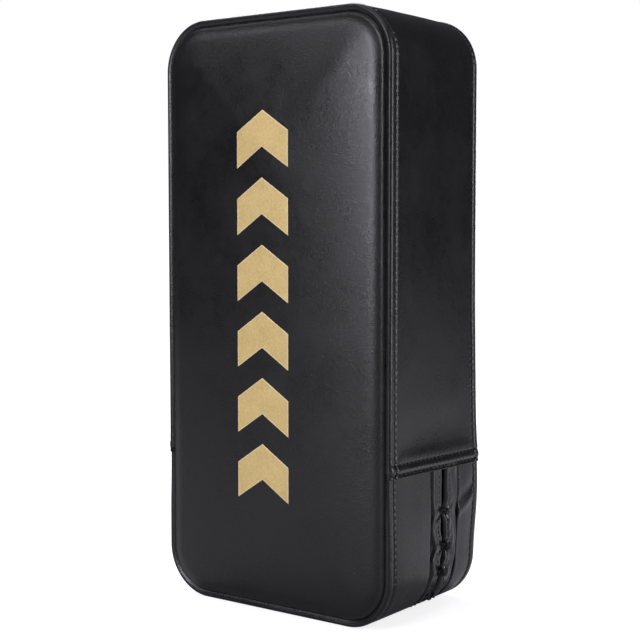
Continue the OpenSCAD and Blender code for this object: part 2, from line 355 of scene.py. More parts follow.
def stitches(centres, along, normals, stitch):
    """(points, faces) of thread stitches that dip into the cloth at both ends."""
    length, radius, lift = stitch
    t = np.linspace(-1, 1, 7)
    sides = 6
    turn = np.arange(sides) * math.tau / sides
    thick = radius * np.sqrt(1 - 0.75 * t ** 4)
    x = np.repeat(t * length / 2, sides)
    y = (thick[:, None] * np.cos(turn)).ravel()
    z = ((lift - (lift + radius * 1.6) * t ** 4)[:, None] + thick[:, None] * np.sin(turn)).ravel()
    along = along / np.linalg.norm(along, axis=1)[:, None]
    across = np.cross(normals, along)
    offsets = sum(size[None, :, None] * way[:, None] for size, way in ((x, along), (y, across), (z, normals)))
    one = [face[:1] + face[:0:-1] for face in ring_faces(len(t), sides)]
    faces = [tuple(i + k * len(x) for i in face) for k in range(len(centres)) for face in one]
    return (centres[:, None] + offsets).reshape(-1, 3), faces


def wall_stitches(s, depth, lift, stitch, ahead=None):
    """Stitches on the gusset, along it unless ahead is given."""
    if ahead is None:
        ahead = wall(s + 1, depth, lift) - wall(s - 1, depth, lift)
    nx, nz = outline(s)[2:]
    return stitches(wall(s, depth, lift), ahead, np.stack([nx, 0 * nx, nz], -1), stitch)


# ---------- Pieces ----------

COVER_FILL = 0.9        # how tightly the cover is stuffed
FOAM_FILL = 1.0         # cut foam is full


def add_piece(name, points, faces, material, body, node=None, uv=None, wear=None, fill=None):
    """Makes a piece with its material, puts it on its body and hides the CAD node that it stands for."""
    piece = make_mesh(name, points, faces, material, uv, wear)
    if body:
        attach(piece, body)
    if node:
        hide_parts(node)
    return piece


def add_sheet(name, outer, inner, material, node, wrap=False, **details):
    """A piece of the root body between two grids of points."""
    return add_piece(name, *thick_sheet(outer, inner, wrap), material, "root", node, **details)


def add_thread(name, parts, body="root"):
    """One piece of all the stitches in parts."""
    add_piece(name, *joined(parts), THREAD, body)


# ---------- Materials ----------

def new_material(name, color, roughness, **sockets):
    material = bpy.data.materials.new(name)
    material.use_nodes = True
    tree = material.node_tree
    shader = tree.nodes["Principled BSDF"]
    shader.inputs["Base Color"].default_value = (*color, 1)
    shader.inputs["Roughness"].default_value = roughness
    for socket, value in sockets.items():
        shader.inputs[socket.replace("_", " ")].default_value = value
    return material, tree, shader


def add(tree, kind, inputs=None, **settings):
    """A new shader node. inputs maps a socket's name or number to a value, or to a socket to link from."""
    node = tree.nodes.new("ShaderNode" + kind)
    for key, value in settings.items():
        setattr(node, key, value)
    for key, value in (inputs or {}).items():
        if isinstance(value, bpy.types.NodeSocket):
            tree.links.new(value, node.inputs[key])
        else:
            node.inputs[key].default_value = value
    return node


def maths(tree, operation, a, b=0.0, clamp=False):
    return add(tree, "Math", {0: a, 1: b}, operation=operation, use_clamp=clamp).outputs[0]


def weighted(tree, *terms):
    """The sum of the terms, each a value and its weight."""
    parts = [maths(tree, "MULTIPLY", value, weight) for value, weight in terms]
    total = parts[0]
    for part in parts[1:]:
        total = maths(tree, "ADD", total, part)
    return total


def span(tree, value, lo, hi, to_lo, to_hi):
    inputs = {"Value": value, "From Min": lo, "From Max": hi, "To Min": to_lo, "To Max": to_hi}
    return add(tree, "MapRange", inputs).outputs[0]


def noise(tree, vector, scale, detail=3.0, roughness=0.55):
    inputs = {"Vector": vector, "Scale": scale, "Detail": detail, "Roughness": roughness}
    return add(tree, "TexNoise", inputs).outputs[0]


def mixed(tree, factor, a, b):
    """A mix of two colours, each an (r, g, b) or a socket."""
    a, b = (c if isinstance(c, bpy.types.NodeSocket) else (*c, 1) for c in (a, b))
    return add(tree, "Mix", {6: a, 7: b, "Factor": factor}, data_type="RGBA").outputs[2]


def object_place(tree):
    return add(tree, "TexCoord").outputs["Object"]


def wear_of(tree):
    return add(tree, "Attribute", attribute_name="wear").outputs["Fac"]


def with_bump(tree, shader, height, strength, distance):
    bump = add(tree, "Bump", {"Height": height, "Strength": strength, "Distance": distance})
    tree.links.new(bump.outputs[0], shader.inputs["Normal"])


WORN = (0.034, 0.034, 0.038)    # leather where it is rubbed


def leather(name, color, roughness, grain=880.0, bump=0.5):
    """Synthetic leather: fine irregular pebbles, a cloudy finish, and rubbed high spots."""
    material, tree, shader = new_material(name, color, roughness, Specular_IOR_Level=0.5)
    spot = object_place(tree)
    wander = add(tree, "TexNoise", {"Vector": spot, "Scale": 260.0, "Detail": 2.0}).outputs[1]
    bend = {0: wander, 1: (0.0016,) * 3, 2: spot}
    bent = add(tree, "VectorMath", bend, operation="MULTIPLY_ADD").outputs[0]
    cells = add(tree, "TexVoronoi", {"Vector": bent, "Scale": grain}, feature="DISTANCE_TO_EDGE").outputs[0]
    pebbles = span(tree, cells, 0.0, 0.32, 0.0, 1.0)
    fine = noise(tree, spot, grain * 2.6)
    cloudy = noise(tree, spot, 22.0, 4.0)
    patchy = noise(tree, spot, 130.0)
    stretched = add(tree, "VectorMath", {0: spot, 1: (0.7, 0.7, 1.25)}, operation="MULTIPLY").outputs[0]
    creases = noise(tree, stretched, 640.0, 1.5)
    height = weighted(tree, (pebbles, 0.7), (fine, 0.6), (creases, 2.2))
    with_bump(tree, shader, height, bump, 0.0001)
    rough = maths(tree, "ADD", span(tree, cloudy, 0.3, 0.7, roughness - 0.05, roughness + 0.06),
                  span(tree, patchy, 0.3, 0.7, -0.025, 0.03))
    rough = maths(tree, "ADD", rough, span(tree, pebbles, 0.0, 1.0, 0.08, 0.0))
    wear = wear_of(tree)
    rough = maths(tree, "SUBTRACT", rough, maths(tree, "MULTIPLY", wear, 0.10))
    tree.links.new(rough, shader.inputs["Roughness"])
    rubbed = maths(tree, "MULTIPLY", wear, span(tree, patchy, 0.35, 0.65, 0.25, 1.0))
    tint = maths(tree, "MULTIPLY", span(tree, cloudy, 0.25, 0.75, 0.0, 0.13),
                 span(tree, pebbles, 0.0, 1.0, 0.5, 1.0))
    shade = maths(tree, "ADD", rubbed, tint, clamp=True)
    tree.links.new(mixed(tree, shade, color, WORN), shader.inputs["Base Color"])
    return material


RIB, PICK = 1.3, 0.85   # pitch of the webbing's ribs and of the picks that cross them


def webbing_material(name, color, lit):
    """Woven tape: ribs along it, crossed by picks, from the piece's own unrolled coordinates, with painted
    highlight on the raised weave and painted shade between.
    """
    material, tree, shader = new_material(name, color, 0.72, Sheen_Weight=0.25, Sheen_Roughness=0.45,
                                          Specular_IOR_Level=0.3)
    parts = add(tree, "SeparateXYZ", {0: add(tree, "UVMap", uv_map="Cloth").outputs[0]})
    u = maths(tree, "MULTIPLY", parts.outputs[0], math.tau / (RIB * MM))
    v = maths(tree, "MULTIPLY", parts.outputs[1], math.tau / (PICK * MM))
    offset = maths(tree, "MULTIPLY", maths(tree, "SINE", maths(tree, "MULTIPLY", v, 0.5)), 1.4)
    ribs = maths(tree, "SINE", maths(tree, "ADD", u, offset))
    weave = maths(tree, "MULTIPLY", ribs, maths(tree, "SINE", v))
    fuzz = noise(tree, object_place(tree), 2600.0)
    height = weighted(tree, (weave, 0.5), (fuzz, 0.5))
    with_bump(tree, shader, height, 0.75, 0.00035)
    # Painted highlight and shade: the raised weave takes the lit colour and the hollows the darker base
    # colour.
    shade = span(tree, height, -0.35, 0.85, 0.0, 1.0)
    tree.links.new(mixed(tree, shade, color, lit), shader.inputs["Base Color"])
    return material


def cloth_material(name, color, lit, scale, roughness=0.9, bump=0.8, distance=0.0006):
    """Matte fibrous or cellular stuff: lining, cord, hook and loop, foam. Raised fibres and cells take a
    painted highlight, and their hollows painted shade.
    """
    material, tree, shader = new_material(name, color, roughness, Specular_IOR_Level=0.25, Sheen_Weight=0.15)
    spot = object_place(tree)
    cells = add(tree, "TexVoronoi", {"Vector": spot, "Scale": scale}).outputs[0]
    rough = noise(tree, spot, scale * 1.7, 4.0, 0.7)
    height = maths(tree, "ADD", cells, rough)
    with_bump(tree, shader, height, bump, distance)
    # Painted highlight and shade: raised fibres and cells take the lit colour and hollows the darker base
    # colour.
    shade = span(tree, height, 0.5, 1.5, 0.0, 1.0)
    tree.links.new(mixed(tree, shade, color, lit), shader.inputs["Base Color"])
    return material


def gold_material():
    """Printed gold ink: a fine metallic mottle with a paler rim."""
    material, tree, shader = new_material("gold_ink", (0.47, 0.35, 0.18), 0.5, Metallic=0.2,
                                          Specular_IOR_Level=0.4)
    spot = object_place(tree)
    flakes = noise(tree, spot, 620.0, 4.0, 0.75)
    blotch = noise(tree, spot, 90.0)
    shade = maths(tree, "ADD", span(tree, flakes, 0.3, 0.7, 0.0, 0.7), span(tree, blotch, 0.3, 0.7, 0.0, 0.3))
    body = mixed(tree, shade, (0.57, 0.415, 0.155), (0.84, 0.64, 0.275))
    rim = mixed(tree, wear_of(tree), body, (0.95, 0.80, 0.48))
    tree.links.new(rim, shader.inputs["Base Color"])
    tree.links.new(span(tree, flakes, 0.3, 0.7, 0.42, 0.6), shader.inputs["Roughness"])
    with_bump(tree, shader, flakes, 0.25, 0.0001)
    return material


NICKEL_COLOR = (0.62, 0.61, 0.60)


def nickel_material():
    """Nickel-plated wire and caps: smeared by hands, with dull specks."""
    material, tree, shader = new_material("nickel", NICKEL_COLOR, 0.2, Metallic=1.0)
    spot = object_place(tree)
    smear = noise(tree, spot, 180.0, 4.0)
    specks = noise(tree, spot, 1900.0, 2.0)
    tree.links.new(span(tree, smear, 0.3, 0.7, 0.14, 0.32), shader.inputs["Roughness"])
    dull = span(tree, specks, 0.55, 0.8, 0.0, 1.0)
    tree.links.new(mixed(tree, dull, NICKEL_COLOR, (0.36, 0.34, 0.32)), shader.inputs["Base Color"])
    with_bump(tree, shader, smear, 0.08, 0.0002)
    return material


SHELL = leather("shell_leather", (0.0034, 0.0034, 0.0042), 0.265)
# The lips are the shell's leather given a lighter base colour: painted highlight for their brighter streaks.
LIP = leather("lip_leather", (0.009, 0.009, 0.0104), 0.19, bump=0.2)
PATCH = leather("patch_leather", (0.008, 0.008, 0.0092), 0.40, grain=900.0)
GRIP = leather("grip_leather", (0.007, 0.007, 0.008), 0.42, grain=820.0, bump=0.45)
# The second colour of each cloth is the lit tone painted on its raised weave, fibres or cells: painted
# highlight.
WEB = webbing_material("webbing", (0.006, 0.006, 0.007), (0.030, 0.030, 0.033))
THREAD = cloth_material("thread", (0.003, 0.003, 0.0034), (0.014, 0.014, 0.0155), 2600.0, 0.7, 0.5, 0.0002)
CORD = cloth_material("tie_cord", (0.003, 0.003, 0.0033), (0.014, 0.014, 0.015), 1900.0, 0.55, 0.9, 0.0003)
LINING = cloth_material("lining", (0.0015, 0.0015, 0.0016), (0.006, 0.006, 0.0065), 1500.0)
DENSE = cloth_material("dense_foam", (0.02, 0.021, 0.024), (0.06, 0.062, 0.068), 900.0)
SOFT = cloth_material("core_foam", (0.62, 0.57, 0.46), (0.84, 0.80, 0.70), 700.0)
LOOP = cloth_material("loop_tape", (0.004, 0.004, 0.0045), (0.028, 0.028, 0.031), 1100.0, 0.95, 1.0, 0.001)
HOOK = cloth_material("hook_tape", (0.003, 0.003, 0.0033), (0.022, 0.022, 0.024), 800.0, 0.6, 1.0, 0.001)
GOLD = gold_material()
NICKEL = nickel_material()


# ---------- Cover: panels ----------

PANEL_ROLL = 11.0       # width of the roll at the strike face's sewn edge
PANEL_TUCK = 3.8        # how deep that edge is drawn in behind the panel's plane
PANEL_SKIN = 1.3        # thickness of the panels' leather
CROWN = 7.6             # how far the strike face swells, and over what distance from its edge
CROWN_RUN = 40.0


def edge_distance(x, z):
    """How far a point of a panel is from the panel's sewn edge."""
    radius = CORNER - SEAM_IN
    qx = np.abs(x) - HALF_BASE
    qz = np.abs(z - HEIGHT / 2) - (HEIGHT / 2 - CORNER)
    outside = np.hypot(np.maximum(qx, 0), np.maximum(qz, 0)) + np.minimum(np.maximum(qx, qz), 0)
    return radius - outside


def strike_depth(x, z):
    """The strike face's surface, behind its plane where positive."""
    e = np.maximum(edge_distance(x, z), 0)
    soft = CROWN * (1 - np.exp(-e / CROWN_RUN)) + 0.10 * waves(x, z, 130, 3) * smooth(e, 4, 50)
    return PANEL_TUCK - (PANEL_TUCK + 1.2) * rise(e, PANEL_ROLL) - 0.7 * hill(e, 1.5, 1.3) - soft


def back_depth(x, z):
    """The back panel's surface, in front of its plane where positive. Its hardware holds it flat."""
    e = np.maximum(edge_distance(x, z), 0)
    return PANEL_TUCK - (PANEL_TUCK - 0.9) * rise(e, 3.0) - 0.85 * smooth(e, 0, 14)


def panel_grid():
    """A grid of (x, z) over a panel, with its rows ending on the rounded outline."""
    radius, half_w = CORNER - SEAM_IN, WIDTH / 2 - SEAM_IN
    across = both_ends(half_w, half_w * (1 - np.cos(np.linspace(0, 0.62, 25))), 40)
    up = both_ends(HEIGHT / 2 - SEAM_IN, quarter_steps(radius, 27), 86)
    x, z = rounded_grid(across, up, radius)
    return x, z + HEIGHT / 2


def panel(name, x, y, z, skin, node, wear=None):
    """A panel's skin. Its inside lies skin behind its face, and a little within its edge."""
    inner = np.stack([x * 0.992, y + skin, (z - HEIGHT / 2) * 0.996 + HEIGHT / 2], -1)
    add_sheet(name, np.stack([x, y, z], -1), inner, SHELL, node, wear=wear, fill=COVER_FILL)


def panels():
    x, z = panel_grid()
    wear = 0.35 * hill(edge_distance(x, z), 1.6, 1.2)
    panel("strike_face", x, FRONT + strike_depth(x, z), z, PANEL_SKIN, "front_panel", wear)
    x, z = x[:, ::-1], z[:, ::-1]
    swollen = x + np.sign(x) * fullness(z, DEPTH) * smooth(np.abs(x), 72, 92)
    panel("rear_panel", swollen, BACK - back_depth(x, z), z, -PANEL_SKIN, "back_panel")


# ---------- Cover: gusset ----------

def edge_rows():
    """Distances from a panel's seam that follow the bead, its groove and the shoulder."""
    bead = BEAD / 2 * (1 - np.cos(np.linspace(0, math.pi, 15)))
    return np.concatenate([bead, BEAD + quarter_steps(SHOULDER, 8)[1:]])


GUSSET_SKIN = 1.5       # thickness of the upper gusset, and of the two lower strips
STRIP_SKIN = 1.15
# (e, height) where the bead turns in
VALLEY = np.array([(4.2, -6.2), (2.6, -5.8), (1.0, -4.4), (0.2, -2.8), (0.03, -2.1)])


def turned_in(s, e, height):
    """The same grids with the strip added that turns into the seam, before e = 0 on their second axis."""
    s, e, height = np.broadcast_arrays(s, e, height)
    first = np.ones((len(s), len(VALLEY)))
    return (np.concatenate([s[:, :1] * first, s], 1), np.concatenate([VALLEY[:, 0] * first, e], 1),
            np.concatenate([VALLEY[:, 1] * first, height], 1))


def edge_height(e, crest):
    """Profile from a panel's seam (e = 0) over the bead, into the stitched groove and up to the side."""
    base = -1.5 + 0.1 * np.clip(e / BEAD, 0, 1)
    bead = base + (crest - base) * np.sqrt(np.maximum(1 - ((e - BEAD / 2) / (BEAD / 2)) ** 2, 0))
    side = -1.25 * (1 - rise(e - BEAD, SHOULDER))
    return np.where(e < BEAD, bead, side)


def seam_pulls(s, e):
    """Puckers that each needle hole makes beside the groove."""
    pull = needle_pulls(s, STITCH, 0.0)
    drawn_in = pull * (0.42 * hill(e, BEAD + 1.0, 1.3) + 0.28 * hill(e, BEAD - 1.1, 1.0))
    return 0.10 * (1 - pull) * hill(e, BEAD + 1.6, 1.2) - drawn_in


def inner_wall(s, depth, height, skin):
    """The inside of a strip of the gusset, skin within its surface and within the outline."""
    return wall(s, np.clip(depth, 1.5, DEPTH - 1.5), np.minimum(height, 0) - skin)


def upper_height(s, depth, above):
    """Height of the upper gusset. above is the distance above the hem's lower edge."""
    e = np.minimum(depth, DEPTH - depth)
    swell = smooth(e, BEAD + 1, 26) * (0.45 * waves(s, depth, 95, 11) + 0.10 * waves(s, depth, 28, 12))
    height = edge_height(e, 0.25) + seam_pulls(s, e) + swell * smooth(above, 8, 60)
    drawn = hill(above, 27, 13) * smooth(e, 8, 30)
    height = height - 0.6 * drawn + 0.55 * hill(above, 13.5, 4.2) * smooth(e, 6, 16)
    across_hem = (smooth(depth, 0, BEAD + 1) * 0.7 + 0.3) * (1 - 0.6 * smooth(depth, DEPTH - 11, DEPTH - 2))
    deep = 0.8 + 0.5 * smooth(depth, 20, DEPTH)
    between = sum(HEM_ROWS) / 2
    plump = 1.35 * hill(above, between, 2.3) + 1.0 * hill(above, 0.3, 1.3)
    height = height + across_hem * plump + 0.5 * across_hem * (1 - smooth(above, 9, 16))
    holes = across_hem * deep * (0.65 + 0.75 * needle_pulls(depth, STITCH, HEM_START))
    for row in HEM_ROWS:
        height = height - holes * hill(above, row, 0.8)
    uneven = 1 + 0.45 * waves(depth, above * 0.3, 13, 14)
    ribs = np.cos(math.tau * (depth - HEM_START) / STITCH) * smooth(e, 5, 11) * deep * uneven
    gathers = 0.13 * hill(above, between, 2.4) + 0.07 * hill(above, 11.2, 1.8) + 0.08 * hill(above, 0.5, 1.2)
    return height - ribs * gathers


# Points across the gusset's field and along its length, before its plain blocks are thinned.
FIELD_COLUMNS, FIELD_ROWS = 118, 980


def upper_gusset():
    rows = edge_rows()
    field = np.linspace(rows[-1], DEPTH - rows[-1], FIELD_COLUMNS)[1:-1]
    depth = np.concatenate([rows, field, (DEPTH - rows)[::-1]])[None, :]
    near = np.concatenate([np.linspace(0, 1, 4)[:-1] * 0.9, np.arange(0.9, 20, 0.62)])
    length = 2 * (HALF_LOOP - S_HEM)
    along = both_ends(length / 2, near, FIELD_ROWS)[:, None] + length / 2
    from_hem = np.minimum(along, length - along)
    sag = HEM_DROP * depth / DEPTH
    s = S_HEM + along + sag * (1 - smooth(from_hem, 20, 120)) * np.where(along < length / 2, -1, 1)
    height = upper_height(s, depth, from_hem) - 1.5 * (1 - rise(from_hem, 1.1))
    s, depth, height = turned_in(s, depth, height)
    s, e, height = turned_in(s[:, ::-1], DEPTH - depth[:, ::-1], height[:, ::-1])
    s, depth, height = s[:, ::-1], DEPTH - e[:, ::-1], height[:, ::-1]
    e = np.minimum(depth, DEPTH - depth)
    wanted = (e < BEAD + SHOULDER + 1) | (from_hem < 18)
    n, m = wanted.shape
    fine = np.array([[wanted[i:i + BLOCK + 1, j:j + BLOCK + 1].any() for j in range(0, m - 1, BLOCK)]
                     for i in range(0, n - 1, BLOCK)])
    points, faces = thick_sheet(wall(s, depth, height), inner_wall(s, depth, height, GUSSET_SKIN), fine=fine)
    wear = 0.5 * hill(e, 2.6, 1.6) + 0.35 * hill(from_hem, 5, 2.2)
    points, faces, wear = used_only(points, faces, np.resize(wear, len(points)))
    add_piece("upper_gusset_skin", points, faces, SHELL, "root", "upper_gusset", wear=wear, fill=COVER_FILL)


def lower_base(s):
    """The lower strips lie under the hem, and come out to the full outline at the base."""
    return -0.75 * smooth(outline(s)[1], 55, 96)


def lower_height(s, e, width, rear):
    """Height of a lower strip, e from its panel's seam, with a folded edge at its other side."""
    z = outline(s)[1]
    height = edge_height(e, 0.15) + 0.7 * seam_pulls(s, e) + lower_base(s)
    crown = smooth(e, BEAD + 1, 18) * (1 - smooth(e, width - 14, width))
    height = height + 0.35 * crown + smooth(e, 8, 18) * 0.22 * waves(s, e, 60, 21)
    if rear:
        crease = smooth(z, 54, 68) * (1 - smooth(z, 82, 97))
        fold = (e - 10 + 1.8 * (z - 75)) / 2.06
        height = height + crease * smooth(e, 3, 11) * (1.0 * hill(fold, 0, 3.6) - 0.6 * hill(fold, 7, 3.6))
        return resting(s, height - 1.7 * (1 - rise(width - e, 1.0)))
    return resting(s, height - 2.3 * (1 - rise(width - e, 1.7)))


def lower_strip(name, width, rear, node):
    rows = edge_rows()
    fold = width - quarter_steps(1.8, 7)[::-1]
    field = np.linspace(rows[-1], fold[0], 18 if width > 30 else 8)[1:-1]
    e = np.concatenate([rows, field, fold])[None, :]
    s = np.linspace(2 - S_TOP, S_TOP - 2, 480)[:, None]
    s, e, height = turned_in(s, e, lower_height(s, e, width, rear))
    depth = DEPTH - e if rear else e
    wear = 0.45 * hill(e, 2.6, 1.6) + 0.4 * hill(e, width - 1.5, 1.4)
    outer, inner = wall(s, depth, height), inner_wall(s, depth, height, STRIP_SKIN)
    add_sheet(name, outer, inner, SHELL, node, wear=wear, fill=COVER_FILL)


def topstitching():
    """The thread in the grooves beside both panels, and in the hem's two rows."""
    s = STITCH * (np.floor(stitch_stations(-HALF_LOOP, HALF_LOOP, STITCH) / STITCH) + 0.5)
    s = s[np.abs(np.abs(s) - (S_TOP - 3)) >= 6]     # the hem covers the others
    lift = resting(s, -1.05 + np.where(np.abs(s) < S_TOP, lower_base(s), 0.0))
    parts = [wall_stitches(s, depth, lift, TOP_STITCH) for depth in (BEAD, DEPTH - BEAD)]
    depth = STITCH * (np.arange(int(DEPTH / STITCH)) + 0.5) + HEM_START
    depth = depth[(depth > 2.4) & (depth < DEPTH - 2)]
    ahead = np.broadcast_to([0, 1, -HEM_DROP / DEPTH], (len(depth), 3))
    for side in (1, -1):
        for row in HEM_ROWS:
            s = S_HEM - HEM_DROP * depth / DEPTH + row
            lift = upper_height(s, depth, row) + 0.1
            parts.append(wall_stitches(side * s, depth, lift, HEM_STITCH, ahead))
    add_thread("topstitching", parts)


# ---------- Cover: laced closure ----------

LIP_IN = 2.6            # how far the lips lie inside the outline
LIP_SEAM = 3.6          # how far their stitching lies from their folded edge
GAP_HALF = 2.1          # half the widest opening between the lips
TIE_S = np.array([sign * (S_TOP - t) for t in TIES for sign in (1, -1)])
TIE_SHIFT = np.repeat((0.6, 3.8, 1.0, 0.4, 2.4, 0.6, 1.6), 2)   # how far each tie draws the gap to the rear


def tie_pull(s, width=5.0):
    """1 at each tie, falling to 0 between ties."""
    return np.max([hill(s, t, width) for t in TIE_S], axis=0)


def gap_half(s):
    return GAP_HALF * (1 - 0.93 * tie_pull(s, 5.6)) + 0.12 * waves(s, 0 * s, 21, 31)


def gap_line(s):
    drawn = np.sum([shift * hill(s, t, 8.5) for t, shift in zip(TIE_S, TIE_SHIFT)], axis=0)
    return SLOT_MID + drawn + 0.3 * waves(s, 0 * s, 46, 32)


def lip_height(s, out, width, seed):
    """Height of a lip, out from its folded edge at the gap. width is what shows of it."""
    pull = tie_pull(s, 4.4)
    arch = rise(out + 0.8, 4.2) * rise(width - 0.2 - out, 2.0)
    height = 2.9 * arch * (1 - 0.5 * pull * hill(out, 0, 6)) - LIP_IN
    height = height + 0.5 * hill(out, 1.3, 1.3) * (1 - pull)
    wrinkles = smooth(out, 0.2, 3) * (1 - smooth(out, width - 3.0, width))
    folds = 0.42 * waves(s * 0.16, out, 3.9, seed) + 0.10 * waves(s, out * 0.5, 6.5, seed + 2)
    height = height + folds * wrinkles
    fan = np.zeros_like(s + out)
    for t in TIE_S:
        gone = (s - t) / (2.2 + 0.6 * out)
        fan = fan + np.cos(gone * 5.2) * np.exp(-(gone / 1.5) ** 2)
    height = height + 0.42 * fan * hill(out, 4.8, 3.8) - 0.4 * hill(out, LIP_SEAM, 0.5)
    return resting(s, height - 1.5 * (1 - rise(out, 1.5)))


def lip(name, rear, node):
    """Makes a lip, and returns the stitches along its folded edge."""
    way, seed = (1, 41) if rear else (-1, 42)
    slot = abs((SLOT_REAR if rear else SLOT_FRONT) - SLOT_MID)
    shown = slot - GAP_HALF - (1.3 if rear else 0)
    near = quarter_steps(1.6, 7)
    out = np.concatenate([near, np.linspace(near[-1], slot + 4, 34 if rear else 28)[1:]])[None, ::way]
    s = np.linspace(1 - S_TOP, S_TOP - 1, 620)[:, None]
    depth = gap_line(s) + way * (gap_half(s) + out)
    height = lip_height(s, out, shown, seed)
    outer, inner = wall(s, depth, height), wall(s, depth, height - 2.2 * hill(out, 0, 7) - 1.0)
    wear = 0.55 * hill(out, 1.4, 1.2) + 0.15 * tie_pull(s)
    add_sheet(name, outer, inner, LIP, node, wear=wear, fill=COVER_FILL)
    s = stitch_stations(9 - S_TOP, S_TOP - 9)
    depth = gap_line(s) + way * (gap_half(s) + LIP_SEAM)
    return wall_stitches(s, depth, lip_height(s, LIP_SEAM, shown, seed), LIP_STITCH)


def closure():
    seams = [lip("front_lip", False, "closure_lip_front"), lip("rear_lip", True, "closure_lip_rear")]
    add_thread("lip_stitching", seams)
    s = np.linspace(-S_TOP, S_TOP, 260)[:, None]
    depth = np.linspace(SLOT_FRONT - 6, SLOT_REAR + 6, 24)[None, :]
    height = -8.2 + 0.35 * waves(s, depth, 30, 51)
    outer = wall(s, depth, height)
    piece = add_sheet("underflap", outer, wall(s, depth, height - 1.0), LINING, "closure_underflap")


TIE_REACH = (-4.6, 10.6)    # where each lashing starts and ends, across from the gap's middle
STRAND_R, KNOT_R, END_R = 0.82, 1.08, 0.78      # radii of a lashing's strands, knot and cut ends


def knot_path(size, squash):
    """A tightened overhand knot: a trefoil, flattened."""
    t = np.linspace(0, math.tau, 64, endpoint=False)
    x = np.sin(t) + 2 * np.sin(2 * t)
    y = np.cos(t) - 2 * np.cos(2 * t)
    return np.stack([x * size / 3, y * size / 3, -np.sin(3 * t) * size * squash], -1)


def lashing(rng, number, flat):
    """(points, faces) of a doubled, twisted cord with its knot and ends.

    y runs across the lips and z outwards. flat below 1 presses it down.
    """
    near, far = TIE_REACH[0] + rng.uniform(-0.6, 0.5), TIE_REACH[1] + rng.uniform(-0.8, 0.6)
    y = np.linspace(near, far, 40)
    t = (y - near) / (far - near)
    rope = (3.7 * np.sin(math.pi * t) ** 0.4 - 1.3) * flat
    sway = rng.uniform(-0.6, 0.6) * (t - 0.4) + 0.3 * np.sin(2.2 * math.pi * t + number)
    twist = y * 1.05 + rng.uniform(0, math.tau)
    parts = []
    for angle in (twist, twist + math.pi):
        strand = np.stack([sway + 0.7 * np.cos(angle), y, rope + 0.7 * np.sin(angle) * flat], -1)
        parts.append(tube(strand, STRAND_R, 8))
    size = 1.5 if number < 2 else 2.6 + rng.uniform(-0.15, 0.25)    # the uppermost pair has small knots
    turn = rng.uniform(0, math.tau)
    c, d = math.cos(turn), math.sin(turn)
    knot = knot_path(size, 0.5) @ np.array([[c, d, 0], [-d, c, 0], [0, 0, 1]]) * np.array([0.95, 1.35, flat])
    knot = knot + np.array([0.2, 1.5 + rng.uniform(0.0, 1.6), 3.1 * flat])
    parts.append(tube(knot, KNOT_R, 9, closed=True))
    for side in (-1, 1):
        lean = rng.uniform(-0.9, 0.9)
        t = np.linspace(0, 1, 6)
        end = [0.9 * side + lean * t, 2 + side * (1.6 + 3.2 * t), (3.3 - 1.7 * t ** 2) * flat]
        parts.append(tube(np.stack(end, -1), END_R, 8))
    return joined(parts)


def ties():
    """The lashings across the lips, those under the base pressed flat."""
    rng = np.random.default_rng(7)
    parts = []
    for number, s in enumerate(TIE_S):
        nx, nz = (float(v) for v in outline(s)[2:])
        out = np.array([nx, 0.0, nz])
        basis = np.array([np.cross([0.0, 1.0, 0.0], out), [0.0, 1.0, 0.0], out])
        points, faces = lashing(rng, number, 1 - 0.45 * smooth(-nz, 0.5, 0.95))
        parts.append((wall(s, float(gap_line(s)), -LIP_IN) + points @ basis, faces))
    points, faces = joined(parts)
    points[:, 2] = np.maximum(points[:, 2], 0.15)   # clear of the plane that the pad rests on
    add_piece("tie_lashings", points, faces, CORD, "root", "closure_ties")


# ---------- Filling ----------

FOAM_IN = 2.8           # how far the foams lie inside the outline


def foam_block(name, node, front_in, back_in, edge, material, rebate=None):
    """A foam slab with softened edges, its faces that far within its CAD node's.

    rebate is (height, inset) of a step round its lower end.
    """
    near, far = (corner[1] - FRONT for corner in node_box(node))
    lead = quarter_steps(edge, 5)
    depth = np.concatenate([near + front_in + lead, (far - back_in - lead)[::-1]])[:, None]
    s = np.linspace(-HALF_LOOP, HALF_LOOP, 181)[None, :-1]
    level = -FOAM_IN - np.concatenate([lead[::-1], lead])[:, None]
    if rebate:
        top, inset = rebate
        level = level - (inset - FOAM_IN) * (1 - smooth(outline(s)[1], top, top + 6))
    grid = wall(s, depth, level)
    points, faces = outward(grid, ring_faces(*grid.shape[:2]))
    add_piece(name, points, faces, material, "root", node, fill=FOAM_FILL)


def filling():
    foam_block("strike_slab", "strike_foam", 0.8, 0, 5, DENSE)
    foam_block("core_block", "core_foam", 0.1, 0.1, 2, SOFT, (HEM_TOP, 9.6))
    foam_block("back_slab", "back_foam", 0, 1.2, 5, DENSE)


# ---------- Print ----------

CHEVRON_RISE = 14.0     # how far a chevron's point stands above its wings
CHEVRON_TALL = 24.0     # the band's own height
CHEVRONS = 6
PRINT_FACES = (-0.16, 0.3)      # how far behind the strike face's surface the print starts and ends


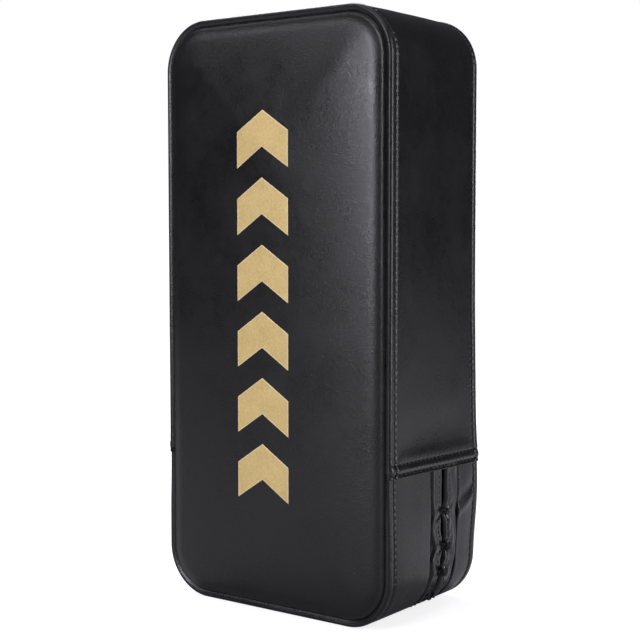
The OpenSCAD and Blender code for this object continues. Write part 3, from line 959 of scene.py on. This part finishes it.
def print_column():
    lo, hi = node_box("front_print")
    centre, half = (lo[0] + hi[0]) / 2, (hi[0] - lo[0]) / 2
    pitch = (hi[2] - lo[2] - CHEVRON_TALL - CHEVRON_RISE) / (CHEVRONS - 1)
    u = both_ends(1, np.array([0, 0.025, 0.05]), 39)[:, None]
    v = (both_ends(0.5, np.array([0, 0.022, 0.05]), 17) + 0.5)[None, :]
    parts, rims = [], []
    for i in range(CHEVRONS):
        x = centre + u * half + 0 * v
        z = lo[2] + i * pitch + CHEVRON_RISE * (1 - np.abs(u)) + v * CHEVRON_TALL
        y = FRONT + strike_depth(x, z)
        outer, inner = (np.stack([x, y + back, z], -1) for back in PRINT_FACES)
        parts.append(thick_sheet(outer, inner))
        border = np.minimum((1 - np.abs(u)) * half, np.minimum(v, 1 - v) * CHEVRON_TALL)
        rims += [(1 - smooth(border, 0.25, 0.75)).ravel()] * 2
    add_piece("gold_chevrons", *joined(parts), GOLD, "root", "front_print", wear=np.concatenate(rims))


# ---------- Back: flat patches and webbing ----------

def arc(cx, cy, radius, start, end, count):
    """Points on an arc, angles in degrees."""
    a = np.radians(np.linspace(start, end, count))
    return np.stack([cx + radius * np.cos(a), cy + radius * np.sin(a)], -1)


def line(a, b, count):
    """Points from a up to but not including b."""
    return np.array(a) + (np.array(b) - np.array(a)) * np.linspace(0, 1, count, endpoint=False)[:, None]


def path_frame(path):
    """Arc length, tangents and left-hand normals of a path in the plane across the pad's height."""
    step = np.gradient(path, axis=0)
    tangent = step / np.linalg.norm(step, axis=1)[:, None]
    length = np.concatenate([[0], np.cumsum(np.linalg.norm(np.diff(path, axis=0), axis=1))])
    return length, tangent, np.stack([-tangent[:, 1], tangent[:, 0]], -1)


def above_path(path, normal, q, z):
    """A grid of points q off a path of (x, height) points, at the height z up the pad."""
    x = path[:, None, 0] + normal[:, None, 0] * q
    return np.stack(np.broadcast_arrays(x, BACK + path[:, None, 1] + normal[:, None, 1] * q, z), -1)


def webbing(name, path, z_mid, width, thick, node, body="root", start=0.0, ripple=0.0, seed=61):
    """A piece of woven tape with rounded selvages that follows a path of (x, height) points."""
    length, _, normal = path_frame(path)
    half, r = width / 2, thick / 2
    flat = np.linspace(-half + r, half - r, 15)
    turn = np.radians([22, 45, 68, 90, 112, 135, 158])
    across = np.concatenate([flat, half - r + r * np.sin(turn), flat[::-1], -half + r - r * np.sin(turn)])
    selvage = 0.10 * hill(np.abs(flat), half - 1.8, 1.0)
    through = np.concatenate([r - 0.06 + selvage, r * np.cos(turn), -r + 0.06 - selvage[::-1],
                              -r * np.cos(turn)])
    q = through + ripple * waves(length[:, None], across * 0.6, 32, seed)
    sway = 0.25 * waves(length, 0 * length, 55, seed + 1)[:, None]
    points, faces = outward(above_path(path, normal, q, z_mid + across + sway), ring_faces(*q.shape))
    uv = np.stack(np.broadcast_arrays(across, start + length[:, None]), -1)
    return add_piece(name, points, faces, WEB, body, node, uv=uv)


def sampled(values, spots, length):
    """Pairs of values at distances along a path, whose points lie at the distances in length."""
    return np.stack([np.interp(spots, length, values[:, i]) for i in (0, 1)], -1)


def seam_on(path, spots, across, out, z_mid, along_path=True):
    """Stitches on a webbing path: spots are distances along it, across is the distance from its middle."""
    length, tangent, normal = path_frame(path)
    spots, across = np.broadcast_arrays(np.asarray(spots, float), np.asarray(across, float))
    p, t, n = (sampled(values, spots, length) for values in (path, tangent, normal))
    p, n = p + n * out, n * math.copysign(1, out)
    centre = np.stack([p[:, 0], BACK + p[:, 1], z_mid + across], -1)
    ahead = np.stack([t[:, 0], t[:, 1], 0 * across], -1) if along_path else centre * 0 + (0, 0, 1)
    return stitches(centre, ahead, np.stack([n[:, 0], n[:, 1], 0 * across], -1), WEB_STITCH)


def stitched_lines(lines, height):
    """Stitches along straight lines of (x, z) points over a patch whose surface is height(x, z)."""
    parts = []
    for a, b in lines:
        a, b = np.array(a, float), np.array(b, float)
        run = np.linalg.norm(b - a)
        x, z = (a + (b - a) * (stitch_stations(0, run) / run)[:, None]).T
        dx, dz = (b - a) / run * 0.5
        climb = height(x + dx, z + dz) - height(x - dx, z - dz)
        ahead = np.stack([2 * dx + 0 * x, climb, 2 * dz + 0 * x], -1)
        ahead /= np.linalg.norm(ahead, axis=1)[:, None]
        up = np.stack([height(x - 0.5, z) - height(x + 0.5, z), 1 + 0 * x,
                       height(x, z - 0.5) - height(x, z + 0.5)], -1)
        up -= ahead * np.sum(up * ahead, 1)[:, None]
        up /= np.linalg.norm(up, axis=1)[:, None]
        centre = np.stack([x, BACK + height(x, z), z], -1)
        parts.append(stitches(centre, ahead, up, PATCH_STITCH))
    return parts


PATCH_T = 1.25          # thickness of the leather patches
PATCH_CORNER = 3.2      # radius of their corners
FOOT_SEAM = 2.7         # how far a patch's stitching lies inside its edge


def patch(name, node, side, span_x, z_mid, half_z, under, crossed=False):
    """Makes a leather patch over a webbing foot, and returns its stitches. crossed adds two diagonals.

    span_x is its nearer and farther x on that side. under is the end x, half width and thickness of the foot.
    """
    near, far = span_x
    end, half_w, thick = under

    def height(x, z):
        covered = 1 - smooth(np.abs(z - z_mid), half_w - 1.2, half_w + 2.0)
        return PATCH_T + thick * covered * (1 - smooth(np.abs(x), end - 2.4, end + 1.6))

    half_x, corner = (far - near) / 2, quarter_steps(PATCH_CORNER, 7)
    gx, gz = rounded_grid(both_ends(half_x, corner, 18), both_ends(half_z, corner, 34), PATCH_CORNER)
    x, z = (gx + (far + near) / 2) * side, gz + z_mid
    inset = np.minimum(half_x - np.abs(gx), half_z - np.abs(gz))
    top = height(x, z) - 0.22 * hill(inset, FOOT_SEAM, 0.8) + 0.10 * hill(inset, 1.1, 0.8)
    top = top - 0.55 * (1 - rise(inset, 0.8)) + 0.05 * waves(x, z, 17, 71)
    low = np.maximum(height(x, z) - PATCH_T, 0.02)
    outer, inner = (np.stack([x, BACK + y, z], -1) for y in (top, low))
    add_sheet(name, outer, inner, PATCH, node, wear=0.5 * hill(inset, 0.6, 0.8))
    a, b = side * (near + FOOT_SEAM), side * (far - FOOT_SEAM)
    c, d = z_mid - half_z + FOOT_SEAM, z_mid + half_z - FOOT_SEAM
    lines = [((a, c), (b, c)), ((b, c), (b, d)), ((b, d), (a, d)), ((a, d), (a, c))]
    if crossed:
        lines += [((a, c), (b, d)), ((a, d), (b, c))]
    return stitched_lines(lines, height)


# ---------- Back: hand grip ----------

GRIP_BOX = node_box("grip_sleeve")
GRIP_Z = (GRIP_BOX[0][2] + GRIP_BOX[1][2]) / 2
GRIP_H = (GRIP_BOX[0][1] + GRIP_BOX[1][1]) / 2 - BACK
GRIP_R = (GRIP_BOX[1][2] - GRIP_BOX[0][2]) / 2
GRIP_HALF = (GRIP_BOX[1][0] - GRIP_BOX[0][0]) / 2
GRIP_FOOT = 66.0        # where the grip's webbing turns up from its foot
GRIP_END = 89.0         # where the foot ends
LOW_R, HIGH_R = 5.0, 12.0       # radii of its turns up from the foot and into the sleeve
GRIP_T = 2.4
GRIP_PATCH = (68, 92)   # nearer and farther x of its patches
SLEEVE_LAP = math.radians(205)  # angle round the sleeve at which its edge laps
RIVET_X, RIVET_SPACING = 81.0, 14.0


def round_grip(x, radius, turn):
    """Points at radius from the grip's axis. turn is the angle round it from straight out of the pad."""
    y, z = BACK + GRIP_H + radius * np.cos(turn), GRIP_Z + radius * np.sin(turn)
    return np.stack(np.broadcast_arrays(x, y, z), -1)


def grip_path():
    half = GRIP_T / 2
    bottom = half + 0.03
    low = arc(GRIP_FOOT, bottom + LOW_R, LOW_R, -90, -180, 12)
    high = arc(GRIP_FOOT - LOW_R - HIGH_R, GRIP_H - HIGH_R, HIGH_R, 0, 90, 18)
    side = np.concatenate([line((GRIP_END, bottom), (GRIP_FOOT, bottom), 12), low,
                           line(low[-1], high[0], 14)[1:], high])
    across = line(high[-1], (-high[-1][0], high[-1][1]), 30)[1:]
    return np.concatenate([side, across, (side * (-1, 1))[::-1]])


def sleeve_surface(x, turn):
    """Radius of the grip's sleeve, with its lap, creases, and gathers at the ends."""
    lap = (turn - SLEEVE_LAP) % math.tau
    step = 0.92 * smooth(lap, 0, 0.05) * (1 - smooth(lap, 0.05, 1.9))
    belly = 0.35 * (1 - (x / GRIP_HALF) ** 2)
    creases = 0.26 * waves(x, turn * 6, 7.5, 81) * hill(turn - math.pi, 0, 1.5)
    creases = creases + 0.2 * waves(x, turn * 14, 30, 82)
    gathered = np.cos(turn * 17 + 2 * np.sin(turn * 3)) * smooth(np.abs(x), GRIP_HALF - 10, GRIP_HALF - 1)
    return GRIP_R - 0.75 + belly + step + creases + 0.18 * gathered


def sleeve_stitches(x, turn, stitch, around):
    """Stitches round the sleeve, or along it."""
    x, turn = np.broadcast_arrays(x, turn)
    up = np.stack([0 * x, np.cos(turn), np.sin(turn)], -1)
    ahead = np.stack([0 * x, -np.sin(turn), np.cos(turn)], -1) if around else 0 * up + (1, 0, 0)
    return stitches(round_grip(x, sleeve_surface(x, turn) + 0.05, turn), ahead, up, stitch)


def sleeve():
    turn = np.linspace(0, math.tau, 121)[:-1, None]
    body = np.linspace(-GRIP_HALF + 1.4, GRIP_HALF - 1.4, 81)
    bend = np.radians(np.linspace(18, 180, 9))
    end_x = GRIP_HALF - 1.4 + 1.35 * np.sin(bend)
    end_r = -1.35 + 1.35 * np.cos(bend)
    mouth = GRIP_HALF - 5.0     # how far the ends are tucked in
    x = np.concatenate([[-mouth], -end_x[::-1], body, end_x, [mouth]])
    sink = np.concatenate([[-3.0], end_r[::-1], 0 * body, end_r, [-3.0]])
    surface = sleeve_surface(np.clip(x, body[0], body[-1]), turn)
    outer = round_grip(x, surface + sink, turn)
    inner = round_grip(np.clip(x, -mouth, mouth), np.minimum(surface + sink - 1.2, surface - 3.4), turn)
    wear = 0.35 * hill(np.abs(x), GRIP_HALF - 0.6, 1.2) + 0 * turn
    add_sheet("grip_wrap", outer, inner, GRIP, "grip_sleeve", wrap=True, wear=wear, fill=COVER_FILL)
    x = stitch_stations(-GRIP_HALF + 3, GRIP_HALF - 3, 3.6)
    parts = [sleeve_stitches(x, SLEEVE_LAP + offset, LAP_STITCH, around=False) for offset in (0.17, 0.36)]
    turn = np.arange(0, math.tau, 3.5 / GRIP_R)
    end = GRIP_HALF - 4.6
    parts += [sleeve_stitches(x, turn, ROUND_STITCH, around=True) for x in (-end, end)]
    add_thread("grip_stitching", parts)


def grip_roll():
    """The foam roll in the sleeve, with the webbing's slot through it."""
    turn = np.linspace(0, math.tau, 73)[:-1, None]
    end = GRIP_HALF - 3.2
    x = np.concatenate([[-end], np.linspace(-GRIP_HALF + 2.4, GRIP_HALF - 2.4, 24), [end]])
    radius = np.full((len(turn), len(x)), GRIP_R - 4.4)
    radius[:, [0, -1]] -= 0.9
    half_slot = GRIP_R - 5.9
    slot = 1 / np.maximum(np.abs(np.cos(turn)) / (GRIP_T / 2 + 0.15), np.abs(np.sin(turn)) / half_slot)
    inner = round_grip(x, np.minimum(slot, half_slot), turn)
    add_sheet("grip_roll", round_grip(x, radius, turn), inner, DENSE, "grip_foam", wrap=True, fill=FOAM_FILL)


def lathe(profile, centre):
    """(points, faces) of a turned part: profile is (radius, height) points from its foot's rim to its top."""
    sides = 36
    turn = np.arange(sides) * math.tau / sides
    points = [(centre[0] + r * math.cos(a), centre[1] + h, centre[2] + r * math.sin(a))
              for r, h in profile for a in turn]
    return outward(points, ring_faces(len(profile), sides))


def rivets(seat):
    """Domed caps on the patches, with their shanks and the burrs inside the back panel."""
    head = [(1.4, -0.4), (3.5, -0.1), (4.05, 0.1), (4.2, 0.4), (4.05, 0.72), (3.75, 0.88), (3.35, 1.0),
            (2.6, 1.32), (1.7, 1.56), (0.8, 1.68), (0.25, 1.71)]
    shank = [(1.5, -7.0), (1.5, -0.3)]
    burr = [(3.3, -6.2), (3.5, -6.05), (3.5, -5.65), (3.2, -5.5), (1.6, -5.4)]
    parts = [lathe(profile, (x, BACK + seat, GRIP_Z + side * RIVET_SPACING / 2))
             for x in (-RIVET_X, RIVET_X) for side in (-1, 1) for profile in (head, shank, burr)]
    add_piece("rivet_caps", *joined(parts), NICKEL, "root", "grip_rivets")


def grip():
    webbing("grip_tape", grip_path(), GRIP_Z, 25, GRIP_T, "grip_webbing", ripple=0.08)
    sleeve()
    grip_roll()
    parts = []
    for side, node in ((-1, "grip_patch_left"), (1, "grip_patch_right")):
        parts += patch(node + "_skin", node, side, GRIP_PATCH, GRIP_Z, 15.5, (GRIP_END - 0.5, 12.5, GRIP_T))
    rivets(PATCH_T + GRIP_T - 0.25)
    add_thread("grip_patch_stitching", parts)


# ---------- Back: forearm straps ----------

# Paths across the pad are (x, height above the back panel), radii at mid-thickness and angles in degrees.
ARCH, ARCH_R = (0.0, 4.0), 54.2             # the strap's arch
FLAP, FLAP_R = (-1.501, 4.798), 60.1        # the flap's arc, from the ring to its free end
FLAP_START, FLAP_END = 151.2, 38.0
FOLD_R = 1.05                               # the turn at the free end, which leads to a second layer
LAYER_R = FLAP_R + 2 * FOLD_R
RING_A, RING_B = (-56.934, 15.067), (-51.211, 31.229)   # the ring's bars, in the tab and in the strap
RING_CORNER = 3.3
WIRE_R = 1.6
STRAP_T, TAB_T = 1.9, 1.55
STRAP_FOOT = 57.2       # where the strap turns up from its foot
STRAP_END = 87.0        # where the feet of strap and tab end
BIGHT_R = 3.8           # the strap's turn round the ring
BIGHT_END = -208
TAB_X, TAB_BEND = -61.53, 6.2   # centre of the tab's turn up from the panel
TAB_ROWS = (8.9, 10.1)          # heights of the tab's stitched rows
LOOP_T, HOOK_T = 1.6, 1.35      # thickness of the loop and hook tapes
LOOP_ARC, HOOK_ARC = (40, 135), (50, 95)        # angles between which they lie
HOOK_SEAM = (94, 51)    # angles of the seams across the hook tape
# Each patch's piece, node, side, nearer and farther x, and the thickness of what it covers.
PATCHES = (("_foot_patch", "_strap_patch", 1, (63, 90), STRAP_T),
           ("_tab_cover", "_tab_patch", -1, (65, 90), 2 * TAB_T))


def strap_path():
    elbow = arc(STRAP_FOOT, 4, 3, -90, -180, 9)
    arch = arc(*ARCH, ARCH_R, 0, 152, 96)
    bight = arc(*RING_B, BIGHT_R, -28, BIGHT_END, 24)
    return np.concatenate([line((STRAP_END, 1), (STRAP_FOOT, 1), 14), elbow, arch[1:], bight[1:]])


def flap_path():
    """From the bight's end round the outside of the strap, with the free end folded back and sewn."""
    start = arc(*RING_B, BIGHT_R, BIGHT_END, BIGHT_END, 1)
    outer = arc(*FLAP, FLAP_R, FLAP_START, FLAP_END + 0.8, 100)
    tip = arc(*FLAP, FLAP_R + FOLD_R, FLAP_END + 0.8, FLAP_END + 0.8, 1)[0]
    fold = arc(*tip, FOLD_R, FLAP_END + 200, FLAP_END + 342, 8)
    back = arc(*FLAP, LAYER_R, FLAP_END + 1.4, FLAP_END + 14, 14)
    return np.concatenate([start, outer, fold, back])


def pile(path, z_mid, width, thick, bumps, size, seed):
    """(points, faces) of a hook or loop tape whose outer face, on the path's left, is tufted."""
    length, _, normal = path_frame(path)
    fine = np.arange(0, length[-1] + 1e-6, bumps / 2)
    p, n = (sampled(values, fine, length) for values in (path, normal))
    w = np.arange(-width / 2, width / 2 + 1e-6, bumps / 2)
    tufts = np.random.default_rng(seed).uniform(0, size, (len(fine), len(w)))
    from_end = np.minimum(fine, fine[-1] - fine)[:, None]
    edge = smooth(np.minimum(width / 2 - np.abs(w), from_end), 1.2, 2.6)
    outer = above_path(p, n, thick / 2 - 0.35 + tufts * edge, z_mid + w)
    return thick_sheet(outer, above_path(p, n, np.full_like(tufts, -thick / 2), z_mid + w))


def ring_mesh(z_mid):
    a, b = np.array(RING_A), np.array(RING_B)
    box = node_box("upper_ring")
    run = np.linalg.norm(b - a)
    far_u, far_w = run - RING_CORNER, (box[1][2] - box[0][2]) / 2 - WIRE_R - RING_CORNER
    corners = ((far_u, far_w, 0), (RING_CORNER, far_w, 90), (RING_CORNER, -far_w, 180), (far_u, -far_w, 270))
    loop = np.concatenate([arc(u, w, RING_CORNER, start, start + 90, 9) for u, w, start in corners])
    loop = np.concatenate([line(p, q, max(1, int(np.linalg.norm(q - p) / 3)))
                           for p, q in zip(loop, np.roll(loop, -1, 0))])
    spot = a + (b - a) / run * loop[:, :1]
    return tube(np.stack([spot[:, 0], BACK + spot[:, 1], z_mid + loop[:, 1]], -1), WIRE_R, 16, closed=True)


def tab_path():
    """The ring's tab: one tape that comes from the panel, turns round the ring's bar and lies on itself."""
    outer = TAB_BEND - TAB_T / 2 - 0.02
    inner = outer - TAB_T - 0.02
    low, high = TAB_BEND - outer, TAB_BEND - inner
    under = [line((-STRAP_END, low), (TAB_X, low), 12), arc(TAB_X, TAB_BEND, outer, -90, 0, 12)]
    over = [arc(TAB_X, TAB_BEND, inner, 0, -90, 12), line((TAB_X, high), (-STRAP_END, high), 12)[1:]]
    neck = np.array([(0.95, -5.2), (1.5, -4.0), (2.3, -2.6)])
    turn = np.concatenate([neck, arc(0, 0, 2.45, -32, 212, 26), (neck * (-1, 1))[::-1]]) + RING_A
    return np.concatenate([*under, turn, *over, [(-STRAP_END, high)]])


def loop_tape(name, z, width):
    """Makes the tape that the flap grips, and returns its stitches."""
    path = arc(*ARCH, ARCH_R + (STRAP_T + LOOP_T) / 2, *LOOP_ARC, 90)[::-1]
    points, faces = pile(path, z, width - 2, LOOP_T, 0.9, 0.75, 91)
    add_piece(name + "_loop_pile", points, faces, LOOP, "root", name + "_strap_loop_tape")
    length = path_frame(path)[0][-1]
    spots, across = stitch_stations(1.5, length - 1.5), stitch_stations(-width / 2 + 3, width / 2 - 3)
    thread = [seam_on(path, spots, side * (width / 2 - 2.2), 0.5, z) for side in (-1, 1)]
    return thread + [seam_on(path, end, across, 0.5, z, along_path=False) for end in (1.6, length - 1.6)]


def strap_patches(name, z, width):
    """Makes the patches over the feet of strap and tab, and returns their stitches."""
    thread = []
    for piece, node, side, span_x, thick in PATCHES:
        under = (STRAP_END, width / 2, thick + 0.1)
        thread += patch(name + piece, name + node, side, span_x, z, width / 2 + 3, under, crossed=True)
    return thread


def ring_tab(name, z, width):
    """Makes the tab, and returns the two rows through both its layers, as seen on either face."""
    webbing(name + "_tab_web", tab_path(), z, width, TAB_T, name + "_ring_tab", start=40, seed=66)
    across = stitch_stations(-width / 2 + 3, width / 2 - 3, 2.2)
    thread = []
    for height in TAB_ROWS:
        for face in (-1, 1):
            x = RING_A[0] + face * (TAB_T + 0.12)
            centre = np.stack([x + 0 * across, BACK + height + 0 * across, z + across], -1)
            thread.append(stitches(centre, 0 * centre + (0, 0, 1), 0 * centre + (face, 0, 0), TAB_STITCH))
    return thread


def flap_webbing(name, z, width, start):
    """The strap's free end, from where its turn round the ring ends, on no body. start continues the strap's
    weave.
    """
    path = flap_path()
    piece = webbing(name + "_strap_tail", path, z, width, STRAP_T, name + "_strap_flap", None, start)
    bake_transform(piece)


def hook_tape(name, z, width):
    """The tape inside the flap, and all of the flap's stitches."""
    path = arc(*FLAP, FLAP_R - STRAP_T / 2 - 0.7, *HOOK_ARC, 60)
    points, faces = pile(path, z, width - 4, HOOK_T, 1.1, 0.8, 92)
    add_piece(name + "_hook_pile", points, faces, HOOK, name + "_flap", name + "_strap_hook_tape")
    skin = STRAP_T / 2 + 0.02
    outer = arc(*FLAP, FLAP_R, FLAP_START, FLAP_END, 100)
    per_degree = path_frame(outer)[0][-1] / (FLAP_START - FLAP_END)
    ends = [(FLAP_START - angle) * per_degree for angle in HOOK_SEAM]
    spots, across = stitch_stations(*ends), stitch_stations(-width / 2 + 4, width / 2 - 4)
    thread = [seam_on(outer, spots, side * (width / 2 - 3.6), out, z)
              for side in (-1, 1) for out in (-skin, skin)]
    thread += [seam_on(outer, end, across, skin, z, along_path=False) for end in ends]
    folded = arc(*FLAP, LAYER_R, FLAP_END + 14, FLAP_END + 1.4, 20)
    thread += [seam_on(folded, spot, across, skin, z, along_path=False) for spot in (1.8, 4.2)]
    add_thread(name + "_flap_stitching", thread, name + "_flap")


def forearm_strap(name):
    box = node_box(name + "_strap")
    z, width = (box[0][2] + box[1][2]) / 2, box[1][2] - box[0][2]
    path = strap_path()
    webbing(name + "_strap_web", path, z, width, STRAP_T, name + "_strap", ripple=0.10)
    thread = loop_tape(name, z, width) + strap_patches(name, z, width) + ring_tab(name, z, width)
    add_thread(name + "_strap_stitching", thread)
    add_piece(name + "_wire_ring", *ring_mesh(z), NICKEL, name + "_ring", name + "_ring")
    flap_webbing(name, z, width, path_frame(path)[0][-1])
    hook_tape(name, z, width)


panels()
upper_gusset()
lower_strip("lower_front_strip", SLOT_FRONT + 0.9, False, "lower_gusset_front")
lower_strip("lower_rear_strip", DEPTH - SLOT_REAR, True, "lower_gusset_rear")
topstitching()
closure()
ties()
filling()
print_column()
grip()
forearm_strap("upper")
forearm_strap("lower")


# ---------- Studio ----------

AZIMUTH = 36.5          # the camera's place round the pad, from straight in front
PITCH = 4.07            # how far the camera looks down
CAMERA_Z = 261.5
DISTANCE = 942.0
LENS = 76.2
STUDIO = (0.985, 0.965, 1.06)    # the lamps' and the room's slightly cool white
ROOM_LIGHT = 0.075
FLOOR_HALF = 60000.0


MIDDLE = (0, 0, 200)
# name, azimuth and elevation in degrees, distance, size, power and target
LAMPS = (
    ("key", -7, 16, 1800, (320, 900), 16.5, MIDDLE),
    ("rim", 188, 3, 1800, (420, 1000), 8, MIDDLE),
    ("left", 250, 30, 1800, (700, 1200), 5.5, MIDDLE),
    ("top", 60, 70, 1600, (900, 900), 5, MIDDLE),
    ("floor_card", 148, -90, 10, (1300, 1300), 1.6, (515, 670, 12)),
    ("back_fill", 238, 50, 1700, (900, 900), 18, MIDDLE),
    ("streak", 101, 8, 1000, (160, 900), 4.4, MIDDLE),
    ("upper", -38, 36, 1800, (700, 500), 3, MIDDLE),
)


def direction(azimuth, elevation):
    a, e = math.radians(azimuth), math.radians(elevation)
    return Vector((math.sin(a) * math.cos(e), -math.cos(a) * math.cos(e), math.sin(e)))


def area_light(name, azimuth, elevation, distance, size, power, target):
    data = bpy.data.lights.new(name, "AREA")
    data.shape = "RECTANGLE"
    data.size, data.size_y = size[0] * MM, size[1] * MM
    data.energy = power
    data.color = STUDIO
    light = bpy.data.objects.new(name, data)
    bpy.context.scene.collection.objects.link(light)
    away = direction(azimuth, elevation)
    light.location = (Vector(target) + away * distance) * MM
    light.visible_camera = False
    light.rotation_euler = (-away).to_track_quat("-Z", "Y").to_euler()


def add_camera(scene):
    data = bpy.data.cameras.new("camera")
    data.lens = LENS
    camera = bpy.data.objects.new("camera", data)
    scene.collection.objects.link(camera)
    foot = Vector((0, FRONT + DEPTH / 2, 0)) + direction(AZIMUTH, 0) * DISTANCE
    camera.location = (foot + Vector((0, 0, CAMERA_Z))) * MM
    camera.rotation_euler = (-direction(AZIMUTH, PITCH)).to_track_quat("-Z", "Y").to_euler()
    scene.camera = camera


def add_floor():
    """A grey floor that glows white to the camera only, brighter farther from the pad."""
    material, tree, shader = new_material("floor", (0.5, 0.5, 0.5), 0.8)
    away = add(tree, "VectorMath", {0: object_place(tree)}, operation="LENGTH").outputs["Value"]
    seen = add(tree, "LightPath").outputs["Is Camera Ray"]
    shader.inputs["Emission Color"].default_value = (1, 1, 1, 1)
    glow = maths(tree, "MULTIPLY", seen, span(tree, away, 0.15, 1.0, 0.80, 1.05))
    tree.links.new(glow, shader.inputs["Emission Strength"])
    corners = FLOOR_HALF * np.array([(-1, -1, 0), (1, -1, 0), (1, 1, 0), (-1, 1, 0)])
    make_mesh("floor", corners, [(0, 1, 2, 3)], material)


def add_world(scene):
    """White to the camera, and a dim even light to everything else."""
    world = bpy.data.worlds.new("studio")
    scene.world = world
    world.use_nodes = True
    tree = world.node_tree
    lit = tree.nodes["Background"]
    lit.inputs["Color"].default_value = (*STUDIO, 1)
    lit.inputs["Strength"].default_value = ROOM_LIGHT
    white = add(tree, "Background", {"Color": (1, 1, 1, 1), "Strength": 1.0}).outputs[0]
    seen = add(tree, "LightPath").outputs["Is Camera Ray"]
    mix = add(tree, "MixShader", {0: seen, 1: lit.outputs[0], 2: white})
    tree.links.new(mix.outputs[0], tree.nodes["World Output"].inputs[0])


add_camera(bpy.context.scene)
bpy.context.scene.view_settings.view_transform = "Standard"
add_floor()
add_world(bpy.context.scene)
for lamp in LAMPS:
    area_light(*lamp)
